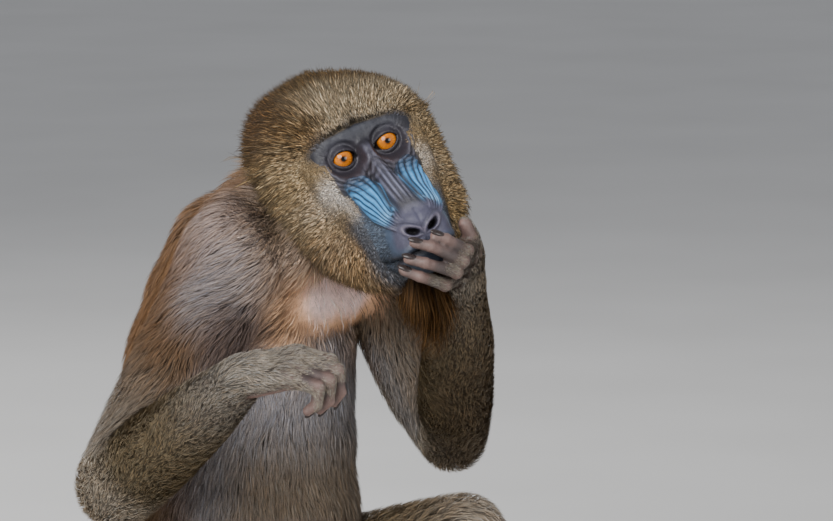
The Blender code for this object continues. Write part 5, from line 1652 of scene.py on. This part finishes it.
class MandrillEyes(bpy.types.PropertyGroup):
    """The eyes' sizes and colour."""

    iris_radius: bpy.props.FloatProperty(
        name="Iris radius", description="Half width of the coloured part of the eye",
        default=0.0078, min=0.003, max=0.010, unit="LENGTH", precision=4)
    pupil_radius: bpy.props.FloatProperty(
        name="Pupil radius", description="Half width of the pupil",
        default=0.0019, min=0.001, max=0.006, unit="LENGTH", precision=4)
    iris: colour_setting("Iris", "Main colour of the iris", (0.50, 0.145, 0.010))


class MandrillCoat(bpy.types.PropertyGroup):
    """The coat's fineness and the colours of its bright bands."""

    tuft_width: bpy.props.FloatProperty(
        name="Tuft width", description="Width of a tuft on the trunk",
        default=0.00054, min=0.0003, max=0.004, unit="LENGTH", precision=4)
    density: bpy.props.FloatProperty(
        name="Density", description="Share of the full number of tufts", default=1.0, min=0.05, max=1.0)
    crown: colour_setting("Crown", "Crown and top of the head", (0.150, 0.096, 0.042))
    back: colour_setting("Back", "Back and outer shoulder", (0.190, 0.105, 0.050))
    shoulder: colour_setting("Shoulder", "Top of the shoulders", (0.44, 0.345, 0.305))
    flank: colour_setting("Flank", "Flanks and inner upper arms", (0.25, 0.26, 0.285))
    arm: colour_setting("Upper arm", "Outer upper arms", (0.120, 0.070, 0.036))
    forearm: colour_setting("Forearm", "Forearms", (0.205, 0.160, 0.095))
    # the beard's orange brown, darkened as painted shade for the shadow of the stalk she holds, which the
    # scene leaves out
    beard: colour_setting("Beard", "The beard under the chin", (0.085, 0.042, 0.013))


class MandrillSkin(bpy.types.PropertyGroup):
    """The bare skin's colours."""

    cheek: colour_setting("Cheek ridges", "The ridges beside the nose", (0.068, 0.300, 0.610))
    muzzle: colour_setting("Muzzle", "Sides of the muzzle", (0.056, 0.082, 0.128))


# The pieces


def finish_piece(name, mesh, material, replaced=()):
    """Puts a finished mesh in the scene, dressed, riding on the body and standing for its solids."""
    made = new_object(name, mesh)
    mesh.materials.clear()
    mesh.materials.append(material)
    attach(made, "root")
    if replaced:
        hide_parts(*replaced)
    return made


# What the skin's operator leaves for the coat's
KEPT = {}


def prepared_skin(coat, skin):
    """The skin's mesh and everything that the coat needs to know about its points."""
    mesh, belongs = whole_skin()
    points = read(mesh.vertices, "co", 3, np.float32).astype(float)
    points[:, 2] = np.maximum(points[:, 2], SKIN_FLOOR)
    mesh.vertices.foreach_set("co", points.astype(np.float32).ravel())
    mesh.update()
    normals = read(mesh.vertices, "normal", 3, np.float32).astype(float)
    edges = read(mesh.edges, "vertices", 2, np.int32)
    triangles = read(mesh.polygons, "vertices", 3, np.int32)
    fields = coat_fields(points, normals, belongs, edges)
    tint = softened(hair_colours(points, normals, belongs, fields, coat), edges, 4)
    mark = skin_colours(points, normals, belongs, fields, skin)
    # under long hair the skin takes the hair's own tone, so that no dark gaps show
    under = 0.85 * smooth((fields["length"] - 0.007) / 0.007) * (1 - fields["bare"])
    mark = mark * (1 - under[:, None]) + 0.5 * tint * under[:, None]
    mark = np.clip(softened(mark, edges, 1), 0, 1)
    store(mesh, "mark", mark)
    marks = face_fields(fields["place"])
    face = (belongs == HEAD) * smooth((0.5 - hair_share(fields["place"])) / 0.3)
    store(mesh, "run", np.where(marks["flank"] > 0.001, marks["run"], 0.5) + 4.0)
    store(mesh, "grooved", face * smooth(marks["flank"] * 1.8 - 0.3))
    first = points[triangles[:, 1]] - points[triangles[:, 0]]
    second = points[triangles[:, 2]] - points[triangles[:, 0]]
    on_head = (belongs == HEAD) | (belongs == EAR)
    KEPT.update(fields)
    KEPT.update({
        "mesh": mesh, "points": points, "normals": normals, "triangles": triangles, "belongs": belongs,
        "tint": tint, "area": np.linalg.norm(np.cross(first, second), axis=1) / 2,
        "label": np.where(on_head, len(BODY_LINES), fields["line"]),
        "tree": BVHTree.FromPolygons([Vector(point) for point in points], triangles.tolist()),
    })
    return KEPT


class MANDRILL_OT_skin(bpy.types.Operator):
    """Builds the skin: head, body, hands, feet and ears in one closed surface"""

    bl_idname = "mandrill.skin"
    bl_label = "Build the skin"

    def execute(self, context):
        """Builds the skin and keeps what the coat needs."""
        kept = prepared_skin(context.scene.mandrill_coat, context.scene.mandrill_skin)
        mesh = kept["mesh"]
        mesh.shade_smooth()
        finish_piece("skin", mesh, skin_material(), FLESH)
        return {"FINISHED"}


class MANDRILL_OT_eyes(bpy.types.Operator):
    """Builds the two eyeballs, each with a low bulge over the iris"""

    bl_idname = "mandrill.eyes"
    bl_label = "Build the eyes"

    def execute(self, context):
        """Turns a round ball, bulged over the iris, to each line of sight."""
        settings = context.scene.mandrill_eyes
        for side, word in SIDES.items():
            place, turn = eye_pose(side)
            work = bmesh.new()
            bmesh.ops.create_uvsphere(work, u_segments=64, v_segments=40, radius=EYE_RADIUS - 0.0002)
            upright = Matrix.Rotation(math.radians(90), 3, "X")
            bmesh.ops.rotate(work, verts=work.verts, cent=(0, 0, 0), matrix=upright)
            for vert in work.verts:
                ring = math.hypot(vert.co.x, vert.co.z)
                if vert.co.y < 0 and ring < settings.iris_radius * 1.1:
                    vert.co.y -= 0.0009 * (1 - (ring / (settings.iris_radius * 1.1)) ** 2) ** 1.5
            bmesh.ops.transform(work, verts=work.verts, matrix=Matrix.Translation(place) @ turn.to_4x4())
            bmesh.ops.recalc_face_normals(work, faces=work.faces)
            mesh = finished_mesh("eyeball_" + word, work)
            mesh.shade_smooth()
            finish_piece("eyeball_" + word, mesh, eye_material(side, settings), ["eye_" + word])
        return {"FINISHED"}


class MANDRILL_OT_nails(bpy.types.Operator):
    """Builds the long dark nails of all twenty fingers and toes"""

    bl_idname = "mandrill.nails"
    bl_label = "Build the nails"

    def execute(self, context):
        """Lays a nail on the back of every fingertip and toe."""
        pieces = []
        for side in SIDES:
            for finger in range(4):
                joints, back = finger_joints(side, finger)
                pieces.append(nail_shape(joints, back, 0.0040))
            joints, back = thumb_joints(side)
            pieces.append(nail_shape(joints, back, 0.0044))
            for toe in range(5):
                joints, back = toe_joints(side, toe)
                pieces.append(nail_shape(joints, back, toe_width(toe) * 0.82))
        whole = joined("nails", pieces)
        mesh = whole.data
        drop(whole)
        mesh.shade_smooth()
        finish_piece("nails", mesh, nail_material())
        return {"FINISHED"}


def grow_coat(skin, settings):
    """The tufts over the head, trunk, arms, legs and tail."""
    first = skin["triangles"][:, 0]
    label = skin["label"][first]
    length = skin["length"][first]
    # more tufts where the hair is short, and none where there is hardly any
    weight = skin["area"] * np.clip((0.022 / np.maximum(length, 0.004)) ** 0.7, 0.5, 3.0)
    weight = weight * (length > 0.0024) * (1 - skin["bare"][first])
    side = skin["place"][first, 0]
    behind = skin["normals"][first, 1]
    head = label == len(BODY_LINES)
    width = settings.tuft_width

    def of(*names):
        """Which triangles belong to those lines of the body."""
        return np.isin(label, [LINE_NUMBER[name] for name in names])

    front, back = behind < 0.1, behind >= 0.1
    trunk = of("trunk", "neck")
    plans = [
        ("coat_head_left", head & (side >= 0), 19000, width * 0.95, ["head"], FULL_TUFT),
        ("coat_head_right", head & (side < 0), 22000, width * 0.95, ["head"], FULL_TUFT),
        ("coat_tips_left", head & (side >= 0), 44000, width * 0.70, ["head"], TIP_TUFT),
        ("coat_tips_right", head & (side < 0), 58000, width * 0.68, ["head"], TIP_TUFT),
        ("coat_trunk_front", trunk & front, 58000, width, ["trunk", "neck"], SLIM_TUFT),
        ("coat_trunk_back", trunk & back, 56000, width, ["trunk", "neck"], SLIM_TUFT),
        ("coat_tail", of("tail"), 4000, width, ["tail"], SLIM_TUFT),
    ]
    for word in SIDES.values():
        arm = ["upper_arm_" + word, "forearm_" + word]
        leg = ["thigh_" + word, "shin_" + word]
        plans.append(("coat_arm_" + word, of(*arm), 50000, width * 0.85, arm, SLIM_TUFT))
        plans.append(("coat_leg_" + word, of(*leg), 31000, width * 0.95, leg, SLIM_TUFT))
    # the ruff runs down over the sides of the neck with the head's banded hair
    middle = skin["points"][skin["triangles"]].mean(axis=1)
    ruff = patch(middle, (0.052, -0.094, 0.404), 0.022, True)
    for side_sign, word in SIDES.items():
        regions = ["trunk", "neck", "upper_arm_" + word]
        there = of(*regions) & (np.sign(middle[:, 0]) == side_sign) & (ruff > 0.1)
        plans.append(("coat_ruff_" + word, there * ruff, 9000, width * 0.72, regions, TIP_TUFT))
    on_body = coat_material("Mandrill coat", BODY_BANDS, 0.22)
    on_head = coat_material("Mandrill head coat", HEAD_BANDS, 0.34)
    for number, (name, where, count, wide, regions, form) in enumerate(plans):
        count = int(count * settings.density * (1.0))
        wide = wide * 1.0
        haired = regions == ["head"] or name.startswith("coat_ruff")
        nature = PLUSH if haired else SLEEK
        seed = 40 + 10 * number
        mesh = coat_piece(name, skin, weight * where, count, seed, wide, regions, form, nature)
        finish_piece(name, mesh, on_head if haired else on_body)


def grow_beard(skin, settings, material):
    """The beard, which hangs free from the chin."""
    first = skin["triangles"][:, 0]
    x, y, z = skin["place"][first].T
    chin = skin["label"][first] == len(BODY_LINES)
    chin = chin & (z < -0.078) & (y > -0.064) & (y < -0.012) & (np.abs(x) < 0.015)
    count = len(skin["points"])
    across, out = skin["place"][:, 0], skin["place"][:, 1]
    beard = dict(skin)
    beard["length"] = 0.030 + 0.030 * bell(across, 0.012) * smooth((-0.020 - out) / 0.02)
    beard["lie"] = tiled(from_head(normalised(array((-0.33, 0.14, -0.93)))), count)
    # the beard's colour, with painted shade for the stalk's shadow in it
    beard["tint"] = tiled(settings.beard, count)
    wide = settings.tuft_width * 0.55
    mesh = coat_piece("beard", beard, skin["area"] * chin, 4500, 301, wide, ["head"], FULL_TUFT, HANGING)
    finish_piece("beard", mesh, material)


def grow_face_hair(skin, settings, material):
    """The short sparse hair on the brow, the chin and beside the muzzle."""
    first = skin["triangles"][:, 0]
    x, y, z = skin["place"][first].T
    open_face = smooth((0.45 - hair_share(skin["place"])) / 0.30)[first]
    ring = np.hypot(np.abs(x) - EYE_SPACING / 2, z)
    bare = (skin["normals"][first] @ array(HEAD_BACK) < 0.75) & ((ring > 0.0190) | (y > 0.01))
    marks = face_fields(skin["place"][first])
    low = smooth((-0.036 - z) / 0.012)
    high = smooth((z - 0.012) / 0.006)
    bridge = smooth((np.abs(x) - 0.012) / 0.006)
    keep = open_face * bare * np.maximum(low, 3.0 * high * bridge) * smooth((y + 0.080) / 0.010)
    keep = keep * (1 - np.clip(2.0 * marks["flank"], 0, 0.995))
    keep = keep * (1 - np.clip(1.3 * marks["ridge"], 0, 0.98)) * (skin["belongs"][first] == HEAD)
    count = len(skin["points"])
    across, over = skin["place"][:, 0], skin["place"][:, 2]
    lie = np.stack([across * 14.0, np.full(count, 1.0), (over + 0.02) * 5.0], axis=1)
    brow = smooth((over + 0.010) / 0.010)
    deep = smooth((-0.062 - over) / 0.012)
    face = dict(skin)
    face["length"] = np.full(count, 0.0066)
    face["depth"] = np.full(count, 0.0006)
    face["lie"] = from_head(normalised(lie))
    face["tint"] = layered(
        tiled((0.150, 0.190, 0.250), count), ((0.120, 0.120, 0.138), brow), ((0.070, 0.085, 0.110), deep))
    wide = settings.tuft_width * 0.40
    mesh = coat_piece("face_hair", face, skin["area"] * keep, 14000, 401, wide, ["head"], SLIM_TUFT, SPARSE)
    finish_piece("face_hair", mesh, material)


class MANDRILL_OT_coat(bpy.types.Operator):
    """Grows the coat: tufts over the head, trunk, arms, legs and tail, the beard and the face's short hair"""

    bl_idname = "mandrill.coat"
    bl_label = "Grow the coat"

    def execute(self, context):
        """Grows the long coat first, then the beard and the face's hair."""
        settings = context.scene.mandrill_coat
        grow_coat(KEPT, settings)
        plain = coat_material("Mandrill face hair", PLAIN_BANDS, 0.10)
        grow_beard(KEPT, settings, plain)
        grow_face_hair(KEPT, settings, plain)
        return {"FINISHED"}


class MANDRILL_OT_stage(bpy.types.Operator):
    """Sets the pale floor, the soft studio lights and the camera"""

    bl_idname = "mandrill.stage"
    bl_label = "Set the stage"

    def execute(self, context):
        """Sets the floor, the lights and the camera."""
        scene = context.scene
        work = bmesh.new()
        bmesh.ops.create_circle(work, cap_ends=True, segments=64, radius=14.0)
        mesh = finished_mesh("floor", work)
        floor = new_object("floor", mesh)
        mesh.materials.append(studio_material())
        middle = Vector((-0.03, -0.12, 0.30))
        for name, way, distance, size, power in [
            ("key", CAMERA_BACK * 1.0 - CAMERA_RIGHT * 0.42 + Vector((0, 0, 0.50)), 2.2, 1.5, 68.0),
            ("fill", CAMERA_BACK * 1.0 + CAMERA_RIGHT * 1.0 + Vector((0, 0, 0.25)), 2.6, 1.4, 28.0),
            ("back", -CAMERA_BACK * 1.0 - CAMERA_RIGHT * 0.5 + Vector((0, 0, 1.2)), 2.2, 1.4, 26.0),
        ]:
            data = bpy.data.lights.new(name, "AREA")
            data.shape = "DISK"
            data.size = size
            data.energy = power
            light = bpy.data.objects.new(name, data)
            scene.collection.objects.link(light)
            way = way.normalized()
            light.location = middle + way * distance
            light.rotation_euler = way.to_track_quat("Z", "Y").to_euler()
        world = bpy.data.worlds.new("Studio")
        scene.world = world
        world.use_nodes = True
        air = world.node_tree.nodes["Background"]
        air.inputs["Color"].default_value = (0.90, 0.93, 1.0, 1.0)
        air.inputs["Strength"].default_value = 0.44
        data = bpy.data.cameras.new("camera")
        data.sensor_width = 36.0
        data.lens = data.sensor_width * CAMERA_FAR / (PHOTO_WIDTH * PIXEL)
        data.clip_end = 100.0
        camera = bpy.data.objects.new("camera", data)
        scene.collection.objects.link(camera)
        turn = Matrix((CAMERA_RIGHT, CAMERA_UP, CAMERA_BACK)).transposed().to_4x4()
        camera.matrix_world = Matrix.Translation(CAMERA_AIM + CAMERA_BACK * CAMERA_FAR) @ turn
        scene.camera = camera
        return {"FINISHED"}


class MANDRILL_PT_panel(bpy.types.Panel):
    """Lists the pieces and their settings"""

    bl_idname = "MANDRILL_PT_panel"
    bl_label = "Sitting mandrill"
    bl_space_type = "VIEW_3D"
    bl_region_type = "UI"
    bl_category = "Mandrill"

    def draw(self, context):
        """The buttons and the settings, in the order of the work."""
        layout = self.layout
        for step in STEPS:
            layout.operator(step.bl_idname)
        for group in (context.scene.mandrill_eyes, context.scene.mandrill_coat, context.scene.mandrill_skin):
            box = layout.box()
            for key in group.bl_rna.properties.keys():
                if key not in ("rna_type", "name"):
                    box.prop(group, key)


STEPS = [MANDRILL_OT_skin, MANDRILL_OT_eyes, MANDRILL_OT_nails, MANDRILL_OT_coat, MANDRILL_OT_stage]
CLASSES = [MandrillEyes, MandrillCoat, MandrillSkin] + STEPS + [MANDRILL_PT_panel]


def register():
    """Makes the settings, the operators and the panel known."""
    for item in CLASSES:
        bpy.utils.register_class(item)
    bpy.types.Scene.mandrill_eyes = bpy.props.PointerProperty(type=MandrillEyes)
    bpy.types.Scene.mandrill_coat = bpy.props.PointerProperty(type=MandrillCoat)
    bpy.types.Scene.mandrill_skin = bpy.props.PointerProperty(type=MandrillSkin)


def unregister():
    """Takes them away again."""
    del bpy.types.Scene.mandrill_skin
    del bpy.types.Scene.mandrill_coat
    del bpy.types.Scene.mandrill_eyes
    for item in reversed(CLASSES):
        bpy.utils.unregister_class(item)


def main():
    """Builds every piece and the stage."""
    register()
    bpy.ops.mandrill.skin()
    bpy.ops.mandrill.eyes()
    bpy.ops.mandrill.nails()
    bpy.ops.mandrill.coat()
    bpy.ops.mandrill.stage()


if __name__ == "__main__":
    main()
